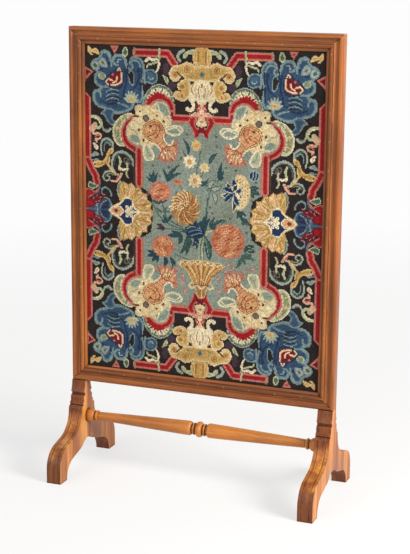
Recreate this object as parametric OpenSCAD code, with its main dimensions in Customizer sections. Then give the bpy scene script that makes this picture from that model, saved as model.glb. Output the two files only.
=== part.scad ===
// Fire screen: a moulded frame with a stretched needlework panel, on two
// scroll-footed legs that a turned stretcher joins.
// X runs to the right, Y to the back and Z up. The origin is on the floor,
// under the middle of the screen.

/* [Frame] */
// Width of the frame over its outer edges
frame_w = 660; // [520:1:800]
// Height of the frame over its outer edges
frame_h = 850; // [650:1:1000]
// Thickness of the frame from front to back
frame_d = 28; // [26:0.5:34]
// Face width of a stile or rail behind its inner moulding
member_w = 33; // [31:0.5:37]
// Depth of the moulded front layer, which is mitred at the corners
moulding_d = 9; // [8:0.5:11]
// Radius of the quarter round on the outer edge
outer_round_r = 6; // [3:0.5:7]
// Width of the flat fillet beside the quarter round
outer_fillet_w = 2.5; // [1.5:0.5:4]
// Drop from that fillet to the edge of the hollow
fillet_step = 1.2; // [0.5:0.1:2]
// Width of the hollow band
hollow_w = 11.5; // [8:0.5:11.5]
// Depth of the hollow band below its edges
hollow_sag = 2.8; // [1.5:0.1:3.5]

/* [Inner moulding] */
// Distance from the frame's outer edge to the inner moulding
slip_from = 21; // [21:0.5:23]
// Width of the inner moulding, up to the sight edge
slip_w = 18; // [17:0.5:24]
// Radius of the bead on the inner moulding
bead_r = 5.4; // [4:0.1:5.5]
// Width of the quirk beside the bead
quirk_w = 1.6; // [1:0.1:2.5]
// Depth of the quirk below the frame's face
quirk_depth = 5.2; // [4.5:0.1:6]
// Distance from one brad to the next
brad_pitch = 63.5; // [50:0.5:120]
// Diameter of a brad
brad_d = 1.6; // [1:0.1:2]
// Length of a brad
brad_len = 18; // [14:0.5:20]

/* [Legs] */
// Height of a leg, from the floor to the frame
leg_h = 218; // [200:1:260]
// Thickness of a leg board
leg_t = 36; // [32:0.5:40]
// Length of a foot from toe to toe
foot_len = 310; // [290:1:340]
// Depth of a toe on the floor, from front to back
toe_t = 35.5; // [30:0.5:40]
// Half depth of the neck above the scroll
neck_half = 34; // [32:0.5:36]
// Radius of the hollow in the scroll
scroll_hollow_r = 60; // [50:1:65]
// Radius of the knee in the scroll
scroll_knee_r = 50; // [44:1:54]
// Height of the knee's centre above the floor
knee_h = 34; // [28:0.5:38]
// Slope of the foot between hollow and knee, in degrees
foot_slope = 14; // [10:0.5:18]
// Half width of the bell arch between the feet
arch_half = 46; // [44:0.5:50]
// Radius of the arch at its top
arch_r = 47.5; // [40:0.5:50]
// Steepest slope of the arch, in degrees
arch_slope = 38; // [34:0.5:40]
// Distance from a leg's edge to the scratched groove on its foot
scratch_in = 7.5; // [5:0.5:11]
// Width of that groove
scratch_w = 2; // [1:0.1:3]
// Depth of that groove
scratch_depth = 1.2; // [0.5:0.1:2]

/* [Neck mouldings] */
// Height of the hollow block under the frame
block_h = 28; // [24:0.5:32]
// Half depth of that block at its foot
block_half = 20; // [18:0.5:22]
// Height of the deep groove under the block
neck_groove_h = 7; // [4:0.5:9]
// Half depth at the bottom of the deep groove
neck_groove_half = 15; // [15:0.5:17]
// Half depth of the flat band
band_half = 22; // [20:0.5:24]
// Height of the flat band
band_h = 10; // [8:0.5:12]
// Half depth of the ring under the band
ring_half = 28; // [26:0.5:30]
// Height of each sloping fillet
fillet_h = 5; // [3:0.5:6]
// Height of the narrow groove in the ring
ring_groove_h = 3.5; // [2:0.5:5]
// Depth of the narrow groove in the ring
ring_groove_depth = 2.5; // [1:0.5:4]

/* [Stretcher] */
// Height of the stretcher's axis above the floor
stretcher_h = 128.5; // [115:0.5:135]
// Largest diameter of each long vase
vase_d = 35; // [28:0.5:38]
// Smallest diameter of each long vase
vase_thin_d = 20.6; // [18:0.2:24]
// Diameter of the bead in the middle
centre_bead_d = 38; // [32:0.5:42]
// Diameter of the narrow necks between the turnings
turned_neck_d = 19; // [18:0.5:21]
// Diameter of the ring at each end
end_ring_d = 27; // [24:0.5:30]
// Diameter of the ball at each end
end_ball_d = 33; // [28:0.5:36]
// Diameter of the round tenon at each end
round_tenon_d = 16; // [12:0.5:18]
// Length of that tenon
round_tenon_len = 22; // [16:0.5:28]

/* [Joinery] */
// Thickness of a rail's tenon
rail_tenon_t = 7; // [5:0.5:8]
// Length of a rail's tenon
rail_tenon_len = 24; // [18:0.5:26]
// Height of a rail's tenon
rail_tenon_h = 20; // [14:0.5:21]
// Distance from the frame's outer edge to a rail's tenon
tenon_haunch = 9; // [7:0.5:10]
// Thickness of the tenon under a stile
leg_tenon_t = 10; // [8:0.5:12]
// Width of the tenon under a stile
leg_tenon_w = 20; // [16:0.5:22]
// Length of the tenon under a stile
leg_tenon_len = 58; // [54:0.5:60]
// Diameter of the pegs
peg_d = 6; // [4:0.5:7]
// Clearance on each side of a joint
joint_gap = 0.1; // [0.05:0.05:0.3]
// Room at the bottom of a mortise or socket
joint_end_gap = 1; // [0.5:0.5:2]

/* [Panel] */
// Thickness of the needlework canvas
canvas_t = 1.4; // [1:0.1:2]
// Clearance round the wrapped panel in its rebate
panel_gap = 1; // [0.3:0.1:2]
// Width of the canvas turned over the strainer's back
turnover_w = 22; // [20:0.5:30]
// Width of a strainer bar
strainer_w = 45; // [38:0.5:60]
// Thickness of a strainer bar
strainer_t = 11; // [10:0.5:12]
// Thickness of the crossbar, which stands clear of the canvas
crossbar_t = 8; // [6:0.5:9]
// Length of the crossbar's lap on each side bar
crossbar_lap = 25; // [20:0.5:35]
// Thickness of the backing cloth
backing_t = 0.8; // [0.5:0.1:1.2]
// Largest distance from one tack to the next
tack_pitch = 75; // [60:1:120]
// Diameter of a tack's head
tack_head_d = 5; // [4:0.1:6]
// Thickness of a backing tack's head
tack_head_t = 0.8; // [0.5:0.1:1]
// Diameter of a tack's shank
tack_shank_d = 1.6; // [1:0.1:2]
// Length of a tack's shank
tack_shank_len = 7; // [5:0.5:8]
// Diameter of the nails in the strainer
nail_d = 2; // [1.5:0.1:2.5]

/* [Back beads] */
// Width of a back bead
back_bead_w = 9; // [8:0.5:12]
// Largest distance from one bead pin to the next
pin_pitch = 190; // [120:1:260]
// Diameter of a bead pin
pin_d = 1.6; // [1:0.1:2]
// Length of a bead pin
pin_len = 15; // [13:0.5:18]

/* [Hidden] */
$fn = 48;

walnut = [0.52, 0.29, 0.15];
walnut_dark = [0.43, 0.24, 0.14];
walnut_light = [0.70, 0.42, 0.22];
pine = [0.80, 0.66, 0.45];
stitched = [0.30, 0.33, 0.36];
linen = [0.74, 0.68, 0.56];
steel = [0.45, 0.45, 0.47];
brass = [0.75, 0.60, 0.30];

// Planes of the frame
frame_x = frame_w / 2;
frame_bottom = leg_h;
frame_top = leg_h + frame_h;
frame_mid = leg_h + frame_h / 2;
front_y = -frame_d / 2;
back_y = frame_d / 2;
core_y = front_y + moulding_d;
core_mid_y = (core_y + back_y) / 2;
sight_in = slip_from + slip_w;

// Opening of the rebate behind the inner moulding
rebate_x = frame_x - member_w;
rebate_z0 = frame_bottom + member_w;
rebate_z1 = frame_top - member_w;

// Layers of the panel, from the inner moulding to the back
canvas_y = core_y;
strainer_y = canvas_y + canvas_t;
strainer_back_y = strainer_y + strainer_t;
turnover_y = strainer_back_y + canvas_t;
backing_y = turnover_y + backing_t;

// Half sizes of the panel with its canvas, and of the strainer inside it
panel_x = rebate_x - panel_gap;
panel_z = (rebate_z1 - rebate_z0) / 2 - panel_gap;
strainer_x = panel_x - canvas_t;
strainer_z = panel_z - canvas_t;
backing_x = rebate_x - back_bead_w;
backing_z = (rebate_z1 - rebate_z0) / 2 - back_bead_w;

// Rows of tacks, counted in from the edges
canvas_edge_gap = 3.5;
backing_edge_gap = 4.5;
canvas_tack_in = tack_head_d / 2 + canvas_edge_gap;
backing_tack_in = tack_head_d / 2 + backing_edge_gap;

// How far a cut runs past the face that it opens
cut = 1;

// Joinery that several pieces share
leg_tenon_cheek = 1;
frame_peg_past = 4;
leg_peg_past = 8;
leg_x = frame_x - leg_t;
leg_mid_x = frame_x - leg_t / 2;
rail_tenon_y = core_mid_y - rail_tenon_t / 2;
leg_tenon_y = core_y + leg_tenon_cheek;
frame_peg_in = member_w - rail_tenon_len / 2;
frame_peg_z = tenon_haunch + rail_tenon_h / 2;
frame_peg_front_y = rail_tenon_y - frame_peg_past;
leg_peg_front_y = leg_tenon_y - leg_peg_past;

// Heights of the neck mouldings
ring_flat_h = 1;
groove_ease = 0.5;
block_z = leg_h - block_h;
groove_z = block_z - neck_groove_h;
band_top_z = groove_z - fillet_h;
band_z = band_top_z - band_h;
ring_z = band_z - fillet_h;
ring_groove_z = ring_z - ring_flat_h - ring_groove_h;
foot_top_z = ring_groove_z - fillet_h - groove_ease;
leg_peg_z = (band_top_z + band_z) / 2;

// Points along an arc from angle a0 to a1
function arc(centre, r, a0, a1, n) =
    [for (i = [0:n]) centre + r * [cos(a0 + (a1 - a0) * i / n), sin(a0 + (a1 - a0) * i / n)]];
function backwards(points) = [for (i = [len(points) - 1:-1:0]) points[i]];
function other_side(points) = [for (p = backwards(points)) [-p.x, p.y]];

// Places spread evenly over a length, no further apart than pitch
function spread(length, pitch) =
    let (n = ceil(length / pitch)) [for (i = [0:n]) -length / 2 + length * i / n];
// Places at a fixed pitch on both sides of the middle
function centred(length, pitch) =
    let (n = floor(length / 2 / pitch)) [for (i = [-n:n]) i * pitch];

// Sections of the frame: x runs in from the outer edge, y runs back from the face
hollow_from = outer_round_r + outer_fillet_w;
hollow_half = hollow_w / 2;
hollow_r = (hollow_half * hollow_half + hollow_sag * hollow_sag) / (2 * hollow_sag);
hollow_turn = asin(hollow_half / hollow_r);
hollow_to = hollow_from + hollow_w;
inner_fillet_y = fillet_step / 2;

front_section = concat(
    [[0, moulding_d]],
    arc([outer_round_r, outer_round_r], outer_round_r, 180, 270, 8),
    [[hollow_from, 0]],
    arc([hollow_from + hollow_half, fillet_step + hollow_sag - hollow_r], hollow_r,
        90 + hollow_turn, 90 - hollow_turn, 12),
    [[hollow_to, inner_fillet_y], [slip_from, inner_fillet_y], [slip_from, moulding_d]]
);

// The bead's arc, counted from the inner side, and the lip that slopes down to the sight edge
bead_from_angle = 140;
bead_to_angle = 12;
lip_rise = 1;
lip_flat_w = 1.2;
lip_fall = 2.4;
bead_x = slip_from + bead_r;
bead_side = bead_r - bead_r * sin(bead_from_angle);
quirk_x = bead_x + bead_r * cos(bead_to_angle);
lip_x = quirk_x + quirk_w;
lip_y = quirk_depth - lip_rise;
slip_section = concat(
    [[slip_from, moulding_d], [slip_from, bead_side]],
    arc([bead_x, bead_r], bead_r, -bead_from_angle, -bead_to_angle, 14),
    [[quirk_x, quirk_depth], [lip_x, quirk_depth], [lip_x, lip_y]],
    [[lip_x + lip_flat_w, lip_y], [sight_in, lip_y + lip_fall], [sight_in, moulding_d]]
);

// Outline of the scroll foot on one side, from the neck to the toe, drawn in by inset
scroll_y0 = neck_half + scroll_hollow_r * (1 - sin(foot_slope));
scroll_y1 = foot_len / 2 - scroll_knee_r * (1 - sin(foot_slope));
hollow_centre_z = knee_h + (scroll_knee_r + scroll_hollow_r) * cos(foot_slope)
    + (scroll_y1 - scroll_y0) * tan(foot_slope);
function scroll_outline(inset) = concat(
    arc([neck_half + scroll_hollow_r, hollow_centre_z], scroll_hollow_r + inset,
        180, 270 - foot_slope, 12),
    arc([foot_len / 2 - scroll_knee_r, knee_h], scroll_knee_r - inset, 90 - foot_slope, 0, 12),
    [[foot_len / 2 - inset, 0]]
);

// Outline of the underside on one side, from the toe to the top of the arch
toe_tighter = 4.5;
toe_in = foot_len / 2 - toe_t;
toe_r = scroll_knee_r - toe_tighter;
under_y = toe_in - toe_r * (1 - sin(foot_slope));
under_z = toe_r * cos(foot_slope);
arch_z = under_z + (under_y - arch_half) * tan(foot_slope);
arch_foot_r = (arch_half - arch_r * sin(arch_slope)) / (sin(arch_slope) - sin(foot_slope));
arch_top_z = arch_z + arch_foot_r * (cos(foot_slope) - cos(arch_slope))
    + arch_r * (1 - cos(arch_slope));
underside = concat(
    arc([toe_in - toe_r, 0], toe_r, 0, 90 - foot_slope, 10),
    arc([arch_half + arch_foot_r * sin(foot_slope), arch_z + arch_foot_r * cos(foot_slope)],
        arch_foot_r, 270 - foot_slope, 270 - arch_slope, 4),
    arc([0, arch_top_z - arch_r], arch_r, 90 - arch_slope, 90, 6)
);

// Outline of the neck on one side, from the frame down to the foot
block_straight_h = 3;
block_foot_h = 1;
block_under_h = 1.5;
band_fillet_in = 3;
foot_lip = 1;
block_flare = block_half - frame_d / 2;
block_hollow_h = block_h - block_straight_h - block_foot_h;
block_r = (block_hollow_h * block_hollow_h + block_flare * block_flare) / (2 * block_flare);
ring_groove_half = ring_half - ring_groove_depth;
ring_flat_z = ring_z - ring_flat_h;
neck_outline = concat(
    [[frame_d / 2, leg_h]],
    arc([frame_d / 2 + block_r, leg_h - block_straight_h], block_r,
        180, 180 + asin(block_hollow_h / block_r), 8),
    [[block_half, block_z], [neck_groove_half, block_z - block_under_h], [neck_groove_half, groove_z]],
    [[band_half - band_fillet_in, groove_z - ring_flat_h], [band_half, band_top_z]],
    [[band_half, band_z], [ring_half, ring_z], [ring_half, ring_flat_z]],
    [[ring_groove_half, ring_flat_z - groove_ease], [ring_groove_half, ring_groove_z]],
    [[ring_half + foot_lip, ring_groove_z - groove_ease]]
);

function leg_outline(inset) =
    let (side = concat(neck_outline, [[neck_half - inset, foot_top_z]], scroll_outline(inset), underside))
    concat(side, other_side([for (i = [0:len(side) - 2]) side[i]]));

module on_right() {
    mirror([1, 0, 0]) children();
}

module on_top() {
    translate([0, 0, 2 * frame_mid]) mirror([0, 0, 1]) children();
}

module on_both_sides() {
    children();
    on_right() children();
}

module on_top_and_bottom() {
    children();
    on_top() children();
}

module box(low, high) {
    translate(low) cube(high - low);
}

// A rod along Y, from the face at y1 forwards to y0
module rod_y(x, z, d, y0, y1) {
    translate([x, y1, z]) rotate([90, 0, 0]) cylinder(d = d, h = y1 - y0);
}

// A prism along Y over an outline in X and Z
module plate(outline, y0, y1) {
    translate([0, y1, 0]) rotate([90, 0, 0]) linear_extrude(y1 - y0) polygon(outline);
}

// The wedge that mitres a left upright of the given width, whose outer edge lies in_by inside the frame
module left_mitre(in_by, width, y0, y1) {
    x0 = -frame_x + in_by;
    z0 = frame_bottom + in_by;
    z1 = frame_top - in_by;
    plate([[x0, z0], [x0 + width, z0 + width], [x0 + width, z1 - width], [x0, z1]], y0, y1);
}

module bottom_mitre(in_by, width, y0, y1) {
    x = frame_x - in_by;
    z0 = frame_bottom + in_by;
    plate([[-x, z0], [x, z0], [x - width, z0 + width], [width - x, z0 + width]], y0, y1);
}

// A section drawn on the frame's front, run up the left side
module upright(section) {
    translate([-frame_x, front_y, frame_bottom]) linear_extrude(frame_h) polygon(section);
}

// The same section, run along the bottom
module cross(section) {
    translate([0, front_y, frame_bottom]) rotate([0, -90, 0])
        linear_extrude(frame_w, center = true) polygon(section);
}

// Tenon of the bottom rail at its left end, or its mortise when grown by a clearance
module rail_tenon(grow, end_room) {
    box([-rebate_x - rail_tenon_len - end_room, rail_tenon_y - grow,
            frame_bottom + tenon_haunch - grow],
        [-rebate_x + grow, rail_tenon_y + rail_tenon_t + grow,
            frame_bottom + tenon_haunch + rail_tenon_h + grow]);
}

// Tenon under the left stile, or its mortise when grown by a clearance
module leg_tenon(grow, end_room) {
    box([-leg_mid_x - leg_tenon_w / 2 - grow, leg_tenon_y - grow, leg_h - leg_tenon_len - end_room],
        [-leg_mid_x + leg_tenon_w / 2 + grow, leg_tenon_y + leg_tenon_t + grow, leg_h + grow]);
}

module frame_peg() {
    rod_y(-frame_x + frame_peg_in, frame_bottom + frame_peg_z, peg_d, frame_peg_front_y, back_y);
}

module leg_peg() {
    rod_y(-leg_mid_x, leg_peg_z, peg_d, leg_peg_front_y, band_half);
}

// Left stile: square core, mitred moulding, mortises, and the tenon that stands in the leg
module stile() {
    difference() {
        union() {
            box([-frame_x, core_y, frame_bottom], [-rebate_x, back_y, frame_top]);
            intersection() {
                upright(front_section);
                left_mitre(0, slip_from, front_y, core_y);
            }
            leg_tenon(0, 0);
        }
        stile_joint_holes();
        on_top() stile_joint_holes();
        left_brads(brad_front_y);
        pins_left();
        leg_peg();
    }
}

module stile_joint_holes() {
    rail_tenon(joint_gap, joint_end_gap);
    frame_peg();
}

// Bottom rail: square core between the stiles, mitred moulding and two pegged tenons
module rail() {
    difference() {
        union() {
            box([-rebate_x, core_y, frame_bottom], [rebate_x, back_y, rebate_z0]);
            intersection() {
                cross(front_section);
                bottom_mitre(0, slip_from, front_y, core_y);
            }
            on_both_sides() rail_tenon(0, 0);
        }
        on_both_sides() frame_peg();
        bottom_brads(brad_front_y);
        pins_bottom();
    }
}

// Brads through the crest of the bead, with their heads set just below it
brad_set = 0.2;
brad_front_y = front_y + brad_set;
brad_end_y = brad_front_y + brad_len;
brad_zs = centred(frame_h - 2 * sight_in, brad_pitch);
brad_xs = centred(frame_w - 2 * sight_in, brad_pitch);

module left_brads(front) {
    for (z = brad_zs) rod_y(-frame_x + bead_x, frame_mid + z, brad_d, front, brad_end_y);
}

module bottom_brads(front) {
    for (x = brad_xs) rod_y(x, frame_bottom + bead_x, brad_d, front, brad_end_y);
}

module slip_left() {
    difference() {
        intersection() {
            upright(slip_section);
            left_mitre(slip_from, slip_w, front_y, core_y);
        }
        left_brads(front_y - cut);
    }
}

module slip_bottom() {
    difference() {
        intersection() {
            cross(slip_section);
            bottom_mitre(slip_from, slip_w, front_y, core_y);
        }
        bottom_brads(front_y - cut);
    }
}

// A slice of the left leg board, drawn in by inset
module leg_slice(x0, x1, inset) {
    translate([x0 - frame_x, 0, 0]) rotate([90, 0, 90]) linear_extrude(x1 - x0) polygon(leg_outline(inset));
}

// Left leg: one board with scratched grooves down its feet, mortised for the stile and the stretcher
module leg() {
    inner_scratch = leg_t - scratch_in - scratch_w;
    difference() {
        union() {
            leg_slice(0, scratch_in, 0);
            leg_slice(scratch_in, scratch_in + scratch_w, scratch_depth);
            leg_slice(scratch_in + scratch_w, inner_scratch, 0);
            leg_slice(inner_scratch, inner_scratch + scratch_w, scratch_depth);
            leg_slice(inner_scratch + scratch_w, leg_t, 0);
        }
        leg_tenon(joint_gap, joint_end_gap);
        translate([-leg_x - round_tenon_len - joint_end_gap, 0, stretcher_h]) rotate([0, 90, 0])
            cylinder(d = round_tenon_d + 2 * joint_gap, h = round_tenon_len + joint_end_gap + cut);
        leg_peg();
    }
}

// Outline of half the stretcher: x is the radius and y the distance from the middle
vase_from = 26;
vase_end_gap = 32;
vase_taper = 1.2;
vase_steps = 16;
collar_r = 2.5;
collar_out = 2;
neck_step = 1;
ball_in = 7;
ball_neck_step = 2;

neck_r = turned_neck_d / 2;
mid_neck_r = neck_r + neck_step;
vase_r = vase_d / 2;
vase_thin_r = vase_thin_d / 2;
vase_shoulder_r = vase_r - mid_neck_r;
vase_to = leg_x - vase_end_gap;
bead_tube_r = centre_bead_d / 2 - mid_neck_r;
collar_y = bead_tube_r + 2 * collar_r;
ring_from = vase_to + 3 * neck_step;
ring_tube_r = end_ring_d / 2 - neck_r;
ball_r = end_ball_d / 2;
ball_y = leg_x - ball_in;
ball_from_angle = -acos((neck_r + ball_neck_step) / ball_r);
tenon_r = round_tenon_d / 2;
tenon_end = leg_x + round_tenon_len;

half_turning = concat(
    arc([mid_neck_r, 0], bead_tube_r, 0, 90, 8),
    [[mid_neck_r, collar_y - collar_r]],
    arc([mid_neck_r + collar_out, collar_y], collar_r, -90, 90, 8),
    [[mid_neck_r, collar_y + collar_r], [mid_neck_r, vase_from - vase_shoulder_r]],
    arc([mid_neck_r, vase_from], vase_shoulder_r, -90, 0, 6),
    [for (i = [1:vase_steps]) let (t = i / vase_steps)
        [vase_r - (vase_r - vase_thin_r) * pow(t, vase_taper), vase_from + (vase_to - vase_from) * t]],
    [[neck_r, vase_to + neck_step], [neck_r, ring_from]],
    arc([neck_r, ring_from + ring_tube_r], ring_tube_r, -90, 90, 8),
    [[neck_r, ball_y + ball_r * sin(ball_from_angle)]],
    arc([0, ball_y], ball_r, ball_from_angle, asin(ball_in / ball_r), 8),
    [[tenon_r, leg_x], [tenon_r, tenon_end], [0, tenon_end]]
);
function flipped(points) = [for (p = backwards(points)) [p.x, -p.y]];

module turned_stretcher() {
    translate([0, 0, stretcher_h]) rotate([0, 90, 0]) rotate_extrude($fn = 64)
        polygon(concat(flipped([for (i = [1:len(half_turning) - 1]) half_turning[i]]), half_turning));
}

// Strainer: the side bars run the full height and the others lap over half their thickness
lap_y = strainer_y + strainer_t / 2;
lap_gap = 0.05;
bar_in_x = strainer_x - strainer_w;
bar_in_z = strainer_z - strainer_w;
crossbar_y = strainer_back_y - crossbar_t;
crossbar_half = strainer_w / 2;
crossbar_lap_y = strainer_back_y - crossbar_t / 2;
crossbar_end = bar_in_x + crossbar_lap;
nail_step = strainer_w / 4;
nail_stop = 1.5;
nail_front_y = strainer_y + nail_stop;

module strainer_side_bar() {
    difference() {
        box([-strainer_x, strainer_y, frame_mid - strainer_z],
            [-bar_in_x, strainer_back_y, frame_mid + strainer_z]);
        on_top_and_bottom() box([-strainer_x - cut, lap_y, frame_mid - strainer_z - cut],
            [-bar_in_x + cut, strainer_back_y + cut, frame_mid - bar_in_z]);
        box([-crossbar_end - lap_gap, crossbar_lap_y, frame_mid - crossbar_half - lap_gap],
            [-bar_in_x + cut, strainer_back_y + cut, frame_mid + crossbar_half + lap_gap]);
        nails_left();
        canvas_shanks_left();
        on_top_and_bottom() canvas_shanks_bottom();
        backing_shanks_left();
        on_top_and_bottom() backing_shanks_bottom();
    }
}

module strainer_end_bar() {
    difference() {
        box([-strainer_x, strainer_y, frame_mid - strainer_z],
            [strainer_x, strainer_back_y, frame_mid - bar_in_z]);
        on_both_sides() box([-strainer_x - cut, strainer_y - cut, frame_mid - strainer_z - cut],
            [-bar_in_x + lap_gap, lap_y, frame_mid - bar_in_z + cut]);
        on_both_sides() nails_left();
        canvas_shanks_bottom();
        on_both_sides() canvas_shanks_left();
        backing_shanks_bottom();
        on_both_sides() backing_shanks_left();
    }
}

module strainer_middle_bar() {
    difference() {
        union() {
            box([-bar_in_x + lap_gap, crossbar_y, frame_mid - crossbar_half],
                [bar_in_x - lap_gap, strainer_back_y, frame_mid + crossbar_half]);
            box([-crossbar_end, crossbar_lap_y, frame_mid - crossbar_half],
                [crossbar_end, strainer_back_y, frame_mid + crossbar_half]);
        }
        on_both_sides() nails_left();
    }
}

// Two nails through each corner lap, and two through each end of the crossbar
module nails_left() {
    for (s = [-1, 1]) {
        for (end = [-1, 1])
            rod_y(-strainer_x + strainer_w / 2 + s * nail_step,
                frame_mid + end * (strainer_z - strainer_w / 2 + s * nail_step),
                nail_d, nail_front_y, strainer_back_y);
        rod_y(-crossbar_end + crossbar_lap / 2, frame_mid + s * nail_step,
            nail_d, nail_front_y, strainer_back_y);
    }
}

// Rows of tacks: the canvas's heads lie flush in its turnover, the backing's stand on the cloth
canvas_tack_zs = spread(2 * (panel_z - canvas_tack_in), tack_pitch);
canvas_tack_xs = spread(2 * (panel_x - canvas_tack_in), tack_pitch);
backing_tack_zs = spread(2 * (backing_z - backing_tack_in), tack_pitch);
backing_tack_xs = spread(2 * (backing_x - backing_tack_in), tack_pitch);

module canvas_tack_row_left(d, y0, y1) {
    for (z = canvas_tack_zs) rod_y(-panel_x + canvas_tack_in, frame_mid + z, d, y0, y1);
}

module canvas_tack_row_bottom(d, y0, y1) {
    for (i = [1:len(canvas_tack_xs) - 2])
        rod_y(canvas_tack_xs[i], frame_mid - panel_z + canvas_tack_in, d, y0, y1);
}

module backing_tack_row_left(d, y0, y1) {
    for (z = backing_tack_zs) rod_y(-backing_x + backing_tack_in, frame_mid + z, d, y0, y1);
}

module backing_tack_row_bottom(d, y0, y1) {
    for (i = [1:len(backing_tack_xs) - 2])
        rod_y(backing_tack_xs[i], frame_mid - backing_z + backing_tack_in, d, y0, y1);
}

module canvas_shanks_left() {
    canvas_tack_row_left(tack_shank_d, strainer_back_y - tack_shank_len, strainer_back_y);
}

module canvas_shanks_bottom() {
    canvas_tack_row_bottom(tack_shank_d, strainer_back_y - tack_shank_len, strainer_back_y);
}

module backing_shanks_left() {
    backing_tack_row_left(tack_shank_d, backing_y - tack_shank_len, backing_y);
}

module backing_shanks_bottom() {
    backing_tack_row_bottom(tack_shank_d, backing_y - tack_shank_len, backing_y);
}

module every_canvas_tack(d, y0, y1) {
    on_both_sides() canvas_tack_row_left(d, y0, y1);
    on_top_and_bottom() canvas_tack_row_bottom(d, y0, y1);
}

module every_backing_tack(d, y0, y1) {
    on_both_sides() backing_tack_row_left(d, y0, y1);
    on_top_and_bottom() backing_tack_row_bottom(d, y0, y1);
}

// The canvas: its face, its edges round the strainer and the turnover tacked behind
module wrapped_canvas() {
    difference() {
        box([-panel_x, canvas_y, frame_mid - panel_z], [panel_x, turnover_y, frame_mid + panel_z]);
        box([-strainer_x, strainer_y, frame_mid - strainer_z],
            [strainer_x, strainer_back_y, frame_mid + strainer_z]);
        box([turnover_w - panel_x, strainer_y, frame_mid - panel_z + turnover_w],
            [panel_x - turnover_w, turnover_y + cut, frame_mid + panel_z - turnover_w]);
        every_canvas_tack(tack_head_d, strainer_back_y - cut, turnover_y + cut);
        every_backing_tack(tack_shank_d, strainer_back_y - cut, turnover_y + cut);
    }
}

module lining() {
    difference() {
        box([-backing_x, turnover_y, frame_mid - backing_z], [backing_x, backing_y, frame_mid + backing_z]);
        every_backing_tack(tack_shank_d, turnover_y - cut, backing_y + cut);
    }
}

// Back beads: square strips with a rounded inner arris, mitred and pinned to the rebate
bead_round_r = 3;
bead_y0 = turnover_y - front_y;
bead_section = concat(
    [[member_w, bead_y0], [member_w, frame_d]],
    arc([member_w + back_bead_w - bead_round_r, frame_d - bead_round_r], bead_round_r, 90, 0, 6),
    [[member_w + back_bead_w, bead_y0]]
);
pin_in = 2;
pin_end_gap = 2 * back_bead_w;
pin_y = turnover_y + pin_in;
pin_zs = spread(rebate_z1 - rebate_z0 - 2 * pin_end_gap, pin_pitch);
pin_xs = spread(2 * (rebate_x - pin_end_gap), pin_pitch);

module pins_left() {
    for (z = pin_zs) translate([back_bead_w - pin_len - rebate_x, pin_y, frame_mid + z])
        rotate([0, 90, 0]) cylinder(d = pin_d, h = pin_len);
}

module pins_bottom() {
    for (x = pin_xs) translate([x, pin_y, rebate_z0 + back_bead_w - pin_len])
        cylinder(d = pin_d, h = pin_len);
}

module bead_left() {
    difference() {
        intersection() {
            upright(bead_section);
            left_mitre(member_w, back_bead_w, turnover_y, back_y);
        }
        pins_left();
    }
}

module bead_bottom() {
    difference() {
        intersection() {
            cross(bead_section);
            bottom_mitre(member_w, back_bead_w, turnover_y, back_y);
        }
        pins_bottom();
    }
}

module left_stile() {
    color(walnut) stile();
}

module right_stile() {
    color(walnut) on_right() stile();
}

module bottom_rail() {
    color(walnut) rail();
}

module top_rail() {
    color(walnut) on_top() rail();
}

module frame_pegs() {
    color(walnut_dark) on_both_sides() on_top_and_bottom() frame_peg();
}

module sight_slip_left() {
    color(walnut_light) slip_left();
}

module sight_slip_right() {
    color(walnut_light) on_right() slip_left();
}

module sight_slip_bottom() {
    color(walnut_light) slip_bottom();
}

module sight_slip_top() {
    color(walnut_light) on_top() slip_bottom();
}

module slip_brads() {
    color(steel) {
        on_both_sides() left_brads(brad_front_y);
        on_top_and_bottom() bottom_brads(brad_front_y);
    }
}

module left_leg() {
    color(walnut_dark) leg();
}

module right_leg() {
    color(walnut_dark) on_right() leg();
}

module leg_pegs() {
    color(walnut_dark) on_both_sides() leg_peg();
}

module stretcher() {
    color(walnut_light) turned_stretcher();
}

module strainer_left() {
    color(pine) strainer_side_bar();
}

module strainer_right() {
    color(pine) on_right() strainer_side_bar();
}

module strainer_bottom() {
    color(pine) strainer_end_bar();
}

module strainer_top() {
    color(pine) on_top() strainer_end_bar();
}

module strainer_crossbar() {
    color(pine) strainer_middle_bar();
}

module strainer_nails() {
    color(steel) on_both_sides() nails_left();
}

module needlework() {
    color(stitched) wrapped_canvas();
}

module needlework_tacks() {
    color(steel) {
        every_canvas_tack(tack_head_d, strainer_back_y, turnover_y);
        every_canvas_tack(tack_shank_d, strainer_back_y - tack_shank_len, strainer_back_y);
    }
}

module backing_cloth() {
    color(linen) lining();
}

module backing_tacks() {
    color(brass) {
        every_backing_tack(tack_head_d, backing_y, backing_y + tack_head_t);
        every_backing_tack(tack_shank_d, backing_y - tack_shank_len, backing_y);
    }
}

module back_bead_left() {
    color(walnut) bead_left();
}

module back_bead_right() {
    color(walnut) on_right() bead_left();
}

module back_bead_bottom() {
    color(walnut) bead_bottom();
}

module back_bead_top() {
    color(walnut) on_top() bead_bottom();
}

module bead_pins() {
    color(steel) {
        on_both_sides() pins_left();
        on_top_and_bottom() pins_bottom();
    }
}

left_stile();
right_stile();
top_rail();
bottom_rail();
frame_pegs();
sight_slip_left();
sight_slip_right();
sight_slip_top();
sight_slip_bottom();
slip_brads();
left_leg();
right_leg();
leg_pegs();
stretcher();
strainer_left();
strainer_right();
strainer_top();
strainer_bottom();
strainer_crossbar();
strainer_nails();
needlework();
needlework_tacks();
backing_cloth();
backing_tacks();
back_bead_left();
back_bead_right();
back_bead_top();
back_bead_bottom();
bead_pins();
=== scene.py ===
import bmesh
import bpy
import math
import numpy as np
from mathutils import Matrix, Vector, noise


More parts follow.
